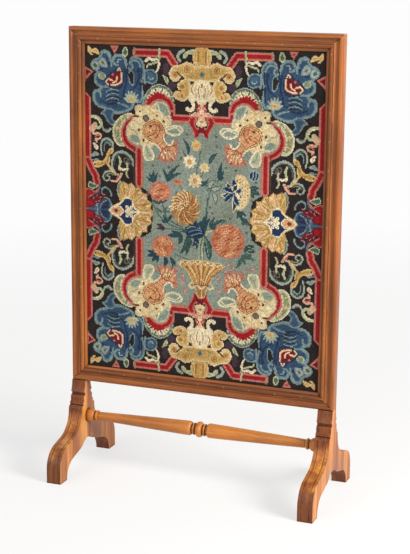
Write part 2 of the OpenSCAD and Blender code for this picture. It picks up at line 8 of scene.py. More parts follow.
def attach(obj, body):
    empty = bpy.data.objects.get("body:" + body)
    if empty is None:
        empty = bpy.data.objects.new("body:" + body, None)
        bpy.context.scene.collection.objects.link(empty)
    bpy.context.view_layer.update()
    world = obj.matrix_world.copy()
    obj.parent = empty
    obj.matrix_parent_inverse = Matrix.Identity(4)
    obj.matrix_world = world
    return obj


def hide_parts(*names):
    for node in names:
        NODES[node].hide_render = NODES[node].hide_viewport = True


# Fire screen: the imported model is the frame, and each piece below dresses one of its nodes.
# X runs to the right, Y to the back and Z up, in metres.

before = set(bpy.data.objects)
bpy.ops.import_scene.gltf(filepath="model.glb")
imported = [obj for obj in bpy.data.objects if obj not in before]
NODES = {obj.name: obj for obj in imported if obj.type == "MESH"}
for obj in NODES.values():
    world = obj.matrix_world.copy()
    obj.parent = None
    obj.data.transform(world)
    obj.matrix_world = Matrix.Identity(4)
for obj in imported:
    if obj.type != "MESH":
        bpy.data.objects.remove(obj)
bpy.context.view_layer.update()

MM = 0.001


def mm(*values):
    """A point given in millimetres."""
    return Vector(values) * MM


# Camera, fitted to the photograph's outline of the frame
PICTURE_W = 410
CAMERA_AT = mm(1180, -3036, 1242)
CAMERA_YAW = math.radians(21.08)
CAMERA_PITCH = math.radians(12.82)
CAMERA_ROLL = math.radians(0.50)
FOCAL_PX = 1437
SENSOR = 36


def make_camera():
    data = bpy.data.cameras.new("camera")
    data.sensor_fit = "HORIZONTAL"
    data.sensor_width = SENSOR
    data.lens = FOCAL_PX / PICTURE_W * SENSOR
    data.clip_end = 100
    camera = bpy.data.objects.new("camera", data)
    bpy.context.scene.collection.objects.link(camera)
    bpy.context.scene.camera = camera
    turn = (Matrix.Rotation(CAMERA_YAW, 4, "Z") @ Matrix.Rotation(math.pi / 2 - CAMERA_PITCH, 4, "X")
            @ Matrix.Rotation(CAMERA_ROLL, 4, "Z"))
    camera.matrix_world = Matrix.Translation(CAMERA_AT) @ turn


# Node trees
def link_up(tree, *links):
    for source, target in links:
        tree.links.new(source, target)


def new_material(name):
    material = bpy.data.materials.new(name)
    material.use_nodes = True
    tree = material.node_tree
    shader = tree.nodes["Principled BSDF"]
    return material, tree, shader


def node(tree, kind, **settings):
    made = tree.nodes.new(kind)
    for key, value in settings.items():
        setattr(made, key, value)
    return made


# Floor, backdrop and lights
FLOOR_HALF = 60.0
GLOW_NEAR = 0.62
GLOW_FAR = 0.97
GLOW_FROM = 0.5
GLOW_TO = 3.5


def camera_ray(tree):
    """1 for what the camera sees straight, in a mirror or through glass, and 0 for light on the object."""
    path = node(tree, "ShaderNodeLightPath")
    first = node(tree, "ShaderNodeMath", operation="ADD", use_clamp=True)
    both = node(tree, "ShaderNodeMath", operation="ADD", use_clamp=True)
    link_up(tree, (path.outputs["Is Camera Ray"], first.inputs[0]),
            (path.outputs["Is Glossy Ray"], first.inputs[1]),
            (first.outputs[0], both.inputs[0]),
            (path.outputs["Is Transmission Ray"], both.inputs[1]))
    return both.outputs[0]


def make_floor():
    h = FLOOR_HALF
    mesh = bpy.data.meshes.new("floor")
    mesh.from_pydata([(-h, -h, 0), (h, -h, 0), (h, h, 0), (-h, h, 0)], [], [(0, 1, 2, 3)])
    floor = bpy.data.objects.new("floor", mesh)
    bpy.context.scene.collection.objects.link(floor)
    material, tree, shader = new_material("floor_pale")
    shader.inputs["Base Color"].default_value = (0.86, 0.86, 0.86, 1)
    shader.inputs["Roughness"].default_value = 0.9
    glow = node(tree, "ShaderNodeEmission")
    glow.inputs["Color"].default_value = (1, 1, 1, 1)
    place = node(tree, "ShaderNodeTexCoord")
    away = node(tree, "ShaderNodeVectorMath", operation="LENGTH")
    reach = node(tree, "ShaderNodeMapRange")
    for key, value in (("From Min", GLOW_FROM), ("From Max", GLOW_TO), ("To Min", GLOW_NEAR),
                       ("To Max", GLOW_FAR)):
        reach.inputs[key].default_value = value
    share = node(tree, "ShaderNodeMath", operation="MULTIPLY")
    mix = node(tree, "ShaderNodeMixShader")
    link_up(tree, (place.outputs["Object"], away.inputs[0]), (away.outputs["Value"], reach.inputs["Value"]),
            (camera_ray(tree), share.inputs[0]), (reach.outputs["Result"], share.inputs[1]),
            (share.outputs[0], mix.inputs[0]),
            (shader.outputs[0], mix.inputs[1]), (glow.outputs[0], mix.inputs[2]),
            (mix.outputs[0], tree.nodes["Material Output"].inputs["Surface"]))
    mesh.materials.append(material)


def make_world():
    world = bpy.data.worlds.new("studio")
    world.use_nodes = True
    bpy.context.scene.world = world
    tree = world.node_tree
    soft = tree.nodes["Background"]
    soft.inputs["Color"].default_value = (1, 1, 1, 1)
    soft.inputs["Strength"].default_value = 0.45
    white = node(tree, "ShaderNodeBackground")
    white.inputs["Color"].default_value = (1, 1, 1, 1)
    white.inputs["Strength"].default_value = 1.0
    mix = node(tree, "ShaderNodeMixShader")
    link_up(tree, (camera_ray(tree), mix.inputs[0]), (soft.outputs[0], mix.inputs[1]),
            (white.outputs[0], mix.inputs[2]),
            (mix.outputs[0], tree.nodes["World Output"].inputs["Surface"]))


def area_light(name, at, target, size, power, colour=(1, 1, 1)):
    data = bpy.data.lights.new(name, "AREA")
    data.shape = "RECTANGLE"
    data.size, data.size_y = size
    data.energy = power
    data.color = colour
    lamp = bpy.data.objects.new(name, data)
    bpy.context.scene.collection.objects.link(lamp)
    aim = (Vector(target) - Vector(at)).to_track_quat("-Z", "Y")
    lamp.matrix_world = Matrix.Translation(at) @ aim.to_matrix().to_4x4()


# Colours are written as sRGB bytes and turned into the linear values that a shader takes
def srgb(red, green, blue):
    def linear(value):
        share = value / 255
        return share / 12.92 if share <= 0.04045 else ((share + 0.055) / 1.055) ** 2.4
    return (linear(red), linear(green), linear(blue), 1.0)


def toned(tree, value, *stops):
    """The colour that a socket's value has on a ramp of (place, colour) stops."""
    made = node(tree, "ShaderNodeValToRGB")
    elements = made.color_ramp.elements
    while len(elements) < len(stops):
        elements.new(0.5)
    for element, (place, colour) in zip(elements, stops):
        element.position = place
        element.color = colour if len(colour) == 4 else (*colour, 1)
    tree.links.new(value, made.inputs[0])
    return made.outputs[0]


def grey(value):
    return (value, value, value, 1)


def noise_node(tree, vector, scale, detail=4.0, roughness=0.5, distortion=0.0):
    made = node(tree, "ShaderNodeTexNoise")
    made.inputs["Scale"].default_value = scale
    made.inputs["Detail"].default_value = detail
    made.inputs["Roughness"].default_value = roughness
    made.inputs["Distortion"].default_value = distortion
    tree.links.new(vector, made.inputs["Vector"])
    return made.outputs["Fac"]


def mix_colour(tree, factor, below, above, blend="MIX"):
    """below and above are sockets or fixed colours, and factor a socket or a number."""
    made = node(tree, "ShaderNodeMix", data_type="RGBA", blend_type=blend)
    for socket, value in zip((made.inputs[0], made.inputs[6], made.inputs[7]), (factor, below, above)):
        if hasattr(value, "links"):
            tree.links.new(value, socket)
        else:
            socket.default_value = value
    return made.outputs[2]


def maths(tree, operation, *values, clamp=False):
    made = node(tree, "ShaderNodeMath", operation=operation, use_clamp=clamp)
    for socket, value in zip(made.inputs, values):
        if hasattr(value, "links"):
            tree.links.new(value, socket)
        else:
            socket.default_value = value
    return made.outputs[0]


def stretched(tree, scale, shift=(0, 0, 0)):
    """Object coordinates, scaled along each axis."""
    place = node(tree, "ShaderNodeTexCoord")
    mapping = node(tree, "ShaderNodeMapping")
    mapping.inputs["Scale"].default_value = scale
    mapping.inputs["Location"].default_value = shift
    tree.links.new(place.outputs["Object"], mapping.inputs["Vector"])
    return mapping.outputs["Vector"]


def relief(tree, shader, height, strength, depth):
    """Fine relief that shows only in the shading. depth is in metres."""
    bump = node(tree, "ShaderNodeBump")
    bump.inputs["Strength"].default_value = strength
    bump.inputs["Distance"].default_value = depth
    link_up(tree, (height, bump.inputs["Height"]), (bump.outputs[0], shader.inputs["Normal"]))


# Wood: streaks run along the grain, with pores, arrises lightened by wear and painted highlight, and quirks
# darkened by wax and painted shade
ALONG = {"x": (1, 0, 0), "z": (0, 0, 1)}


def along_grain(axis, across, along):
    return tuple(along if k else across for k in ALONG[axis])


# Tones on the legs, and the heights of their bands: darker at the toe and neck, lighter on the slope between
TOE_TONE = (0.46, 0.34, 0.33, 1)
NECK_TONE = (0.50, 0.37, 0.35, 1)
SLOPE_TONE = (1.16, 1.14, 1.00, 1)
# Painted light: the sides of the legs are lighter, as if lit from the side
LIT_SIDE_TONE = (1.18, 1.20, 1.12, 1)
TOE_TOP, SLOPE_FROM, SLOPE_TO, NECK_FROM = 0.062, 0.085, 0.118, 0.146
WAVER = 0.08


def leg_bands_and_lit_sides(tree, base):
    """Leg fronts are darker at the toe and neck and lighter on the slope between. The sides are painted
    lighter, as if lit from the side.
    """
    place = node(tree, "ShaderNodeTexCoord")
    height = node(tree, "ShaderNodeSeparateXYZ")
    facing = node(tree, "ShaderNodeSeparateXYZ")
    link_up(tree, (place.outputs["Object"], height.inputs[0]), (place.outputs["Normal"], facing.inputs[0]))
    waver = noise_node(tree, stretched(tree, (22, 22, 22)), 1.0, 3, 0.5)
    level = maths(tree, "ADD", height.outputs["Z"], maths(tree, "MULTIPLY",
                                                          maths(tree, "SUBTRACT", waver, 0.5), WAVER))
    tone = toned(tree, level, (TOE_TOP, TOE_TONE), (SLOPE_FROM, SLOPE_TONE), (SLOPE_TO, SLOPE_TONE),
                 (NECK_FROM, NECK_TONE))
    # Faces turned sideways take the painted-light side tone, and fronts take the height bands
    front = maths(tree, "SUBTRACT", 1.0, maths(tree, "ABSOLUTE", facing.outputs["X"]), clamp=True)
    shown = mix_colour(tree, front, LIT_SIDE_TONE, tone)
    return mix_colour(tree, 1.0, base, shown, "MULTIPLY")


def wood(name, axis, dark, mid, light, worn_and_highlight, dirt_and_shade, shift=0.0, gloss=0.38, wear_and_highlight=0.7, grime_and_shade=0.9, legs=False):
    material, tree, shader = new_material(name)
    moved = (shift, shift * 0.7, shift * 1.3)
    streak_place = stretched(tree, along_grain(axis, 34, 1.6), moved)
    fine_place = stretched(tree, along_grain(axis, 260, 7), moved)
    pore_place = stretched(tree, along_grain(axis, 900, 26), moved)
    broad = noise_node(tree, stretched(tree, (5, 5, 5), moved), 1.0, 3, 0.55)
    streak = noise_node(tree, streak_place, 1.0, 6, 0.62, 0.35)
    fine = noise_node(tree, fine_place, 1.0, 4, 0.6)
    pores = noise_node(tree, pore_place, 1.0, 2, 0.5)
    figure = maths(tree, "ADD", maths(tree, "MULTIPLY", streak, 0.72),
                   maths(tree, "MULTIPLY", fine, 0.28))
    colours = toned(tree, figure, (0.34, dark), (0.50, mid), (0.68, light))
    patch = toned(tree, broad, (0.30, grey(0.72)), (0.70, grey(1.18)))
    base = mix_colour(tree, 1.0, colours, patch, "MULTIPLY")
    if legs:
        base = leg_bands_and_lit_sides(tree, base)
    pore_mask = toned(tree, pores, (0.30, grey(1)), (0.40, grey(0)))
    base = mix_colour(tree, maths(tree, "MULTIPLY", pore_mask, 0.45), base, dirt_and_shade)
    # Arrises take a lighter colour: partly wear, partly a painted highlight on the crests
    edge = edge_mask(tree, 0.0022)
    patchy = noise_node(tree, stretched(tree, (38, 38, 38), moved), 1.0, 5, 0.65)
    wear_and_highlight_patches = toned(tree, patchy, (0.38, grey(0)), (0.62, grey(1)))
    wear_and_highlight_share = maths(tree, "MULTIPLY", edge, maths(tree, "MULTIPLY", wear_and_highlight_patches, wear_and_highlight))
    base = mix_colour(tree, wear_and_highlight_share, base, worn_and_highlight)
    # Quirks and grooves are darkened by ambient occlusion: partly dark wax, partly painted shade
    recess = recess_mask(tree, 0.009)
    base = mix_colour(tree, maths(tree, "MULTIPLY", recess, grime_and_shade), base, dirt_and_shade)
    tree.links.new(base, shader.inputs["Base Color"])
    rough = toned(tree, broad, (0.30, grey(gloss - 0.07)), (0.72, grey(gloss + 0.16)))
    rough_out = maths(tree, "ADD", rough, maths(tree, "MULTIPLY", recess, 0.25), clamp=True)
    tree.links.new(rough_out, shader.inputs["Roughness"])
    depth = maths(tree, "ADD", maths(tree, "MULTIPLY", fine, 0.5),
                  maths(tree, "MULTIPLY", pore_mask, -0.6))
    relief(tree, shader, depth, 0.22, 0.0006)
    shader.inputs["Coat Weight"].default_value = 0.08
    shader.inputs["Coat Roughness"].default_value = 0.22
    shader.inputs["Specular IOR Level"].default_value = 0.30
    return material


def edge_mask(tree, radius):
    """1 where a rounded normal leaves the true one, on arrises and in inner corners alike."""
    rounded = node(tree, "ShaderNodeBevel", samples=6)
    rounded.inputs["Radius"].default_value = radius
    true = node(tree, "ShaderNodeNewGeometry")
    dot = node(tree, "ShaderNodeVectorMath", operation="DOT_PRODUCT")
    link_up(tree, (rounded.outputs[0], dot.inputs[0]), (true.outputs["Normal"], dot.inputs[1]))
    away = toned(tree, dot.outputs["Value"], (0.80, grey(1)), (0.985, grey(0)))
    return away


def recess_mask(tree, distance):
    """1 deep in a quirk or groove, and 0 in the open."""
    shade = node(tree, "ShaderNodeAmbientOcclusion", samples=6)
    shade.inputs["Distance"].default_value = distance
    closed = toned(tree, shade.outputs["AO"], (0.35, grey(1)), (0.80, grey(0)))
    return closed


# Copies of CAD pieces with softened arrises
LONG_EDGE = 0.2
ARRIS_FROM = 24
SHARP_FROM = 38
UNEVEN_SCALE = 22


def add_piece(name, mesh, source_name, material):
    """A modelled piece that takes a CAD node's place."""
    mesh.materials.append(material)
    piece = bpy.data.objects.new(name, mesh)
    bpy.context.scene.collection.objects.link(piece)
    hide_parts(source_name)
    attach(piece, "root")
    return piece


def whole_faces(source):
    """The CAD mesh with its split corners merged and its flat faces whole."""
    mesh = bmesh.new()
    mesh.from_mesh(source.data)
    bmesh.ops.remove_doubles(mesh, verts=mesh.verts, dist=2e-6)
    bmesh.ops.dissolve_limit(mesh, angle_limit=math.radians(0.6), verts=mesh.verts, edges=mesh.edges)
    return mesh


def arrises(mesh, axis, shortest, sharpest):
    """Edges along an axis that are long, and where two faces meet at more than the given angle."""
    found = []
    for edge in mesh.edges:
        run = edge.verts[1].co - edge.verts[0].co
        if len(edge.link_faces) == 2 and abs(run[axis]) > shortest and \
                edge.calc_face_angle(0) > math.radians(sharpest):
            found.append(edge)
    return found


def slice_up(mesh, axis, step):
    """Cuts across the length, so that the piece can take a gentle unevenness."""
    places = [v.co[axis] for v in mesh.verts]
    low, high = min(places), max(places)
    normal = Vector([1.0 if k == axis else 0.0 for k in range(3)])
    for i in range(1, round((high - low) / step)):
        at = normal * (low + i * step)
        bmesh.ops.bisect_plane(mesh, geom=mesh.verts[:] + mesh.edges[:] + mesh.faces[:],
                               dist=1e-6, plane_co=at, plane_no=normal)


def softened(name, source_name, material, axis, radius=0.0004, step=0.012, uneven=0.00018):
    mesh = whole_faces(NODES[source_name])
    edges = arrises(mesh, axis, LONG_EDGE, ARRIS_FROM)
    bmesh.ops.bevel(mesh, geom=edges, offset=radius, segments=2, profile=0.5, affect="EDGES",
                    clamp_overlap=True)
    slice_up(mesh, axis, step)
    for v in mesh.verts:
        drift = noise.noise_vector(v.co * UNEVEN_SCALE) * uneven
        drift[axis] = 0
        v.co += drift
    for face in mesh.faces:
        face.smooth = True
    data = bpy.data.meshes.new(name)
    mesh.to_mesh(data)
    mesh.free()
    add_piece(name, data, source_name, material)
    data.set_sharp_from_angle(angle=math.radians(SHARP_FROM))


def dress(node_name, material):
    """Gives a CAD node its detailed material."""
    mesh = NODES[node_name].data
    mesh.materials.clear()
    mesh.materials.append(material)


# Needlework. Places are in millimetres from the panel's middle, as a worker would chart them
PANEL_W = 592
PANEL_H = 782
STITCHES_X = 256
STITCHES_Z = 338
STITCH = PANEL_W / STITCHES_X

WOOL = {
    "soil": (42, 36, 36), "plum": (66, 50, 59), "umber": (80, 56, 40), "sky": (125, 136, 125),
    "red": (147, 32, 37), "wine": (108, 28, 38), "rose": (177, 108, 96),
    "blush": (206, 158, 134), "navy": (36, 50, 79), "blue": (52, 74, 98), "steel": (71, 95, 114),
    "haze": (113, 134, 136), "ice": (138, 156, 157), "ochre": (149, 110, 57), "gold": (179, 143, 83),
    "straw": (197, 169, 116), "cream": (206, 188, 147), "bone": (214, 201, 171), "rust": (140, 76, 50),
    "salmon": (179, 112, 81), "peach": (197, 145, 107), "tan": (153, 113, 72), "pine": (46, 70, 75),
    "leaf": (71, 93, 83), "sage": (125, 132, 103), "lime": (169, 173, 138), "dove": (104, 95, 90),
    "stone": (149, 156, 144),
}
WOOL_NAMES = list(WOOL)


def curve(points, closed, steps=5):
    """A smooth line through points, with a corner at each point given twice."""
    p = np.array(points, float)
    n = len(p)
    out = []
    for i in range(n if closed else n - 1):
        if closed:
            a, b, c, d = p[i - 1], p[i], p[(i + 1) % n], p[(i + 2) % n]
        else:
            a, b, c, d = p[max(i - 1, 0)], p[i], p[i + 1], p[min(i + 2, n - 1)]
        if np.allclose(b, c):
            continue
        if np.allclose(a, b):
            a = b - (c - b) * 0.01
        if np.allclose(c, d):
            d = c + (c - b) * 0.01
        for k in range(steps):
            t = k / steps
            out.append(0.5 * (2 * b + (c - a) * t + (2 * a - 5 * b + 4 * c - d) * t * t
                              + (3 * b - a - 3 * c + d) * t ** 3))
    out.append(p[0] if closed else p[-1])
    return np.array(out)


class Chart:
    """A grid of stitches. Each shape is worked over what is there already."""

    def __init__(self, xs, zs, wool):
        self.xs, self.zs = xs, zs
        self.wool = np.full((len(zs), len(xs)), WOOL_NAMES.index(wool))

    def window(self, path, room):
        """The stitches near a path, as index ranges and their places."""
        j = np.flatnonzero((self.xs > path[:, 0].min() - room) & (self.xs < path[:, 0].max() + room))
        i = np.flatnonzero((self.zs > path[:, 1].min() - room) & (self.zs < path[:, 1].max() + room))
        if not len(i) or not len(j):
            return None
        rows, cols = slice(i[0], i[-1] + 1), slice(j[0], j[-1] + 1)
        x, z = np.meshgrid(self.xs[cols], self.zs[rows])
        return rows, cols, x, z

    @staticmethod
    def nearest(path, x, z):
        """The distance to a path, and how far along it the nearest point lies, from 0 to 1."""
        a, run = path[:-1], np.diff(path, axis=0)
        length = np.maximum((run ** 2).sum(1), 1e-9)
        dx, dz = x[..., None] - a[:, 0], z[..., None] - a[:, 1]
        t = np.clip((dx * run[:, 0] + dz * run[:, 1]) / length, 0, 1)
        away = np.hypot(dx - t * run[:, 0], dz - t * run[:, 1])
        k = away.argmin(-1)
        best = np.take_along_axis(away, k[..., None], -1)[..., 0]
        return best, (k + np.take_along_axis(t, k[..., None], -1)[..., 0]) / len(a)

    @staticmethod
    def inside(path, x, z):
        x0, z0, x1, z1 = path[:-1, 0], path[:-1, 1], path[1:, 0], path[1:, 1]
        spans = (z0 > z[..., None]) != (z1 > z[..., None])
        with np.errstate(divide="ignore", invalid="ignore"):
            cross = x0 + (z[..., None] - z0) / (z1 - z0) * (x1 - x0)
        return (spans & (x[..., None] < cross)).sum(-1) % 2 == 1

    def patch(self, points, *bands, smooth=True):
        """A filled shape. Each band is (distance in from the outline, wool)."""
        path = curve(points, True) if smooth else np.array([*points, points[0]], float)
        found = self.window(path, STITCH)
        if found is None:
            return
        rows, cols, x, z = found
        within = self.inside(path, x, z)
        depth = self.nearest(path, x, z)[0]
        for start, wool in bands:
            self.wool[rows, cols][within & (depth >= start)] = WOOL_NAMES.index(wool)

    def line(self, points, width, wool, tip=None, smooth=True):
        """A worked line, which narrows to tip at its end."""
        path = curve(points, False) if smooth else np.array(points, float)
        found = self.window(path, width)
        if found is None:
            return
        rows, cols, x, z = found
        away, along = self.nearest(path, x, z)
        end = width if tip is None else tip
        self.wool[rows, cols][away <= (width + (end - width) * along) / 2] = WOOL_NAMES.index(wool)

    def spot(self, x, z, r, *wools):
        """A round spot, with each wool a stitch further in."""
        ring = [(x + r * math.cos(a), z + r * math.sin(a)) for a in np.linspace(0, 2 * math.pi, 12)[:-1]]
        self.patch(ring, *[(k * STITCH, wool) for k, wool in enumerate(wools)])

    def leaf(self, base, tip, width, *bands, bend=0.0, blunt=0.0):
        """A pointed leaf from base to tip. bend bows it sideways, and blunt rounds its tip."""
        base, tip = np.array(base, float), np.array(tip, float)
        run = tip - base
        side = np.array([-run[1], run[0]])
        half = width / 2 / max(np.hypot(*run), 1e-6)
        left, right = [], []
        for t in np.linspace(0, 1, 7):
            centre = base + run * t + side * bend * math.sin(math.pi * t)
            swell = math.sin(math.pi * t ** (0.8 + blunt)) ** 0.8 if 0 < t < 1 else 0
            left.append(centre + side * half * swell)
            right.append(centre - side * half * swell)
        self.patch([left[0], *left, left[-1], *right[-2:0:-1]], *bands)
        return base + run * 0.5 + side * bend


def both(chart, points, outer, inner, core_w, full_w, smooth=False):
    """A banded strap: a wide line with a narrower one down its middle."""
    chart.line(points, full_w, outer, smooth=smooth)
    chart.line(points, core_w, inner, smooth=smooth)


# The border is worked on one quarter and turned over on both axes
def work_straps(c):
    c.patch([(82, 345), (90, 349), (96, 338), (93, 322), (84, 322), (80, 334)], (0, "plum"))
    c.patch([(62, 302), (74, 308), (84, 300), (80, 290), (68, 290)], (0, "plum"))
    both(c, [(163, 370), (84, 370), (67, 346)], "rose", "red", 9, 18.5)
    c.line([(105, 380), (103, 372), (107, 365), (103, 357)], 5, "lime", tip=3)
    c.line([(167, 380), (165, 371), (171, 363)], 5, "sage", tip=2)
    c.patch([(278, 262), (278, 110), (292, 110), (292, 276)], (0, "rose"), smooth=False)
    c.patch([(283, 264), (283, 110), (292, 110), (292, 272)], (0, "red"), smooth=False)
    both(c, [(286, 116), (277, 96), (267, 80), (264, 62)], "rose", "red", 9, 19, smooth=True)
    c.line([(257, 68), (256, 55), (262, 45), (273, 36), (292, 27)], 4.5, "rose")
    c.patch([(292, 47), (277, 46), (267, 38), (280, 29), (292, 24)], (0, "rose"), (2.5, "red"))
    c.patch([(261, 55), (270, 61), (283, 64), (287, 54), (277, 47), (267, 50)], (0, "lime"), (2.6, "leaf"))
    c.patch([(205, 384), (216, 366), (227, 384)], (0, "rose"), (4, "red"), smooth=False)
    c.patch([(294, 336), (270, 323), (284, 310), (294, 296)], (0, "rose"), (4, "wine"), smooth=False)


def work_top_ornament(c):
    c.patch([(8, 380), (24, 381), (38, 377), (47, 368), (45, 361), (39, 362), (32, 370), (20, 368),
             (12, 362)],
            (0, "lime"), (4.5, "sage"))
    c.line([(45, 378), (55, 373), (59, 363), (52, 354)], 8, "stone", tip=5)
    c.patch([(-3, 386), (15, 384), (21, 372), (22, 356), (15, 345), (-3, 338)], (0, "straw"), (4, "gold"),
            (9, "ochre"))
    c.line([(5, 384), (6, 350)], 4, "gold")
    c.line([(13, 378), (14, 350)], 2.5, "straw")
    c.line([(18, 341), (22, 350), (26, 353)], 3, "umber")
    c.patch([(-4, 345), (14, 344), (24, 350), (38, 353), (50, 348), (58, 345), (70, 343), (79, 331),
             (79, 318),
             (71, 309), (61, 308), (54, 314), (49, 322), (42, 315), (36, 311), (-4, 311)],
            (0, "cream"), (2.6, "straw"), (6, "gold"))
    c.spot(36, 336, 11, "straw", "ochre", "gold", "ochre")
    c.spot(65, 324, 11, "cream", "peach", "gold", "ochre")
    c.line([(22, 321), (32, 321)], 2.4, "sage")
    c.line([(22, 321), (22, 330)], 2.4, "sage")
    c.line([(60, 330), (50, 320), (42, 312), (33, 310)], 3, "umber")
    c.patch([(-6, 326), (0, 335), (8, 326), (0, 316)], (0, "sage"), (2.4, "steel"), smooth=False)
    c.patch([(30, 310), (42, 314), (54, 309), (60, 299), (57, 289), (66, 285), (70, 277), (62, 268),
             (48, 264),
             (37, 268), (27, 282)], (0, "cream"), (2.6, "straw"), (6.5, "gold"))
    c.spot(48, 297, 9, "straw", "gold", "ochre")
    c.spot(48, 276, 7.5, "straw", "peach", "ochre")
    c.line([(58, 289), (52, 287)], 3, "umber")
    c.patch([(-4, 312), (14, 311), (25, 303), (29, 288), (26, 272), (18, 264), (-4, 262)], (0, "cream"),
            (4, "bone"))
    c.line([(20, 306), (25, 292), (20, 280)], 2.4, "tan")
    c.line([(12, 303), (17, 290), (12, 276), (16, 268)], 2.4, "straw")
    c.line([(5, 300), (9, 288), (5, 274)], 2.4, "tan")
    c.line([(0, 304), (0, 296)], 3, "ochre")
    c.line([(26, 282), (28, 270), (20, 258), (21, 249), (28, 244), (35, 247)], 8, "bone", tip=9)
    c.line([(14, 266), (12, 252), (17, 242), (26, 236)], 3, "umber")


def work_crown(c):
    c.patch([(-3, 265), (6, 262), (10, 252), (12, 242), (18, 237), (28, 238), (31, 232), (22, 227),
             (12, 229),
             (-3, 226)], (0, "rose"), (2.4, "blush"))
    c.line([(0, 262), (7, 256), (3, 250), (9, 243), (0, 235)], 2.4, "red")
    c.line([(0, 247), (4, 240), (0, 236)], 3, "bone")
    c.line([(16, 240), (22, 236), (28, 238)], 2.4, "bone")
    c.patch([(26, 230), (14, 228), (16, 214), (10, 204), (-3, 202), (-3, 192), (6, 190), (10, 182),
             (17, 182),
             (20, 194), (27, 206), (32, 218)], (0, "rose"), (2.6, "red"))
    c.patch([(-3, 232), (5, 230), (11, 220), (15, 212), (8, 209), (-3, 208)], (0, "blush"), (2.6, "cream"))
    c.line([(0, 220), (4, 218)], 3, "ochre")
    c.patch([(-3, 207), (5, 205), (9, 196), (12, 186), (9, 186), (4, 194), (-3, 197)], (0, "wine"))


def work_medallion(c):
    """The strap round the grey ground, and the lobe that each corner has."""
    ground = [(0, 203), (14, 206), (26, 218), (74, 218), (76, 246), (88, 264), (104, 269), (122, 262),
              (136, 250),
              (150, 232), (168, 222), (186, 208), (193, 188), (189, 168), (176, 154), (155, 146), (155, 64),
              (125, 45), (118, 0), (0, 0)]
    c.patch([(p[0] if p[0] else -4, p[1] if p[1] else -4) for p in ground], (0, "sky"), smooth=False)
    c.patch([(68, 262), (71, 280), (80, 292), (94, 299), (108, 300), (122, 295), (134, 284), (143, 268),
             (147, 254),
             (140, 244), (120, 262), (100, 268), (82, 262), (74, 254)],
            (0, "stone"), (2.6, "leaf"), (5.2, "sage"), (8, "bone"))
    for a in range(20, 160, 17):
        turn = math.radians(a)
        c.line([(104 + 26 * math.cos(turn), 260 + 26 * math.sin(turn)),
                (104 + 36 * math.cos(turn), 260 + 36 * math.sin(turn))], 4, "leaf" if a % 2 else "lime",
                tip=2)
    c.patch([(166, 228), (180, 231), (195, 227), (209, 216), (219, 202), (223, 187), (220, 171), (213, 159),
             (202, 153), (192, 155), (198, 168), (200, 186), (196, 204), (184, 218), (170, 223)],
            (0, "bone"), (2.6, "lime"), (6, "sage"), (10, "straw"))
    for a in range(-34, 60, 15):
        turn = math.radians(a)
        c.line([(166 + 38 * math.cos(turn), 186 + 38 * math.sin(turn)),
                (166 + 48 * math.cos(turn), 186 + 48 * math.sin(turn))], 4, "straw" if a % 2 else "sage",
                tip=2)
    both(c, [(20, 225), (73, 225), (73, 252)], "rose", "red", 9, 18)
    both(c, [(73, 246), (80, 261), (92, 268), (106, 270), (120, 265), (130, 256), (137, 247)], "rose",
         "red", 8, 17,
         smooth=True)
    for x, z in ((90, 276), (98, 279), (106, 280), (114, 278), (121, 273), (128, 267), (134, 260)):
        c.leaf((104 + (x - 104) * 0.72, 262 + (z - 262) * 0.5), (x + 3, z + 5), 7, (0, "red"))
    both(c, [(168, 220), (178, 212), (188, 201), (193, 187), (191, 172), (184, 160), (170, 151),
             (155, 145)],
         "rose", "red", 8, 17, smooth=True)
    both(c, [(155, 147), (155, 66)], "rose", "red", 8, 18)
    c.line([(20, 213.5), (75, 213.5)], 2.4, "tan", smooth=False)
    c.line([(144, 140), (144, 62)], 2.4, "tan", smooth=False)
    c.line([(168, 146), (168, 68)], 3, "umber", smooth=False)


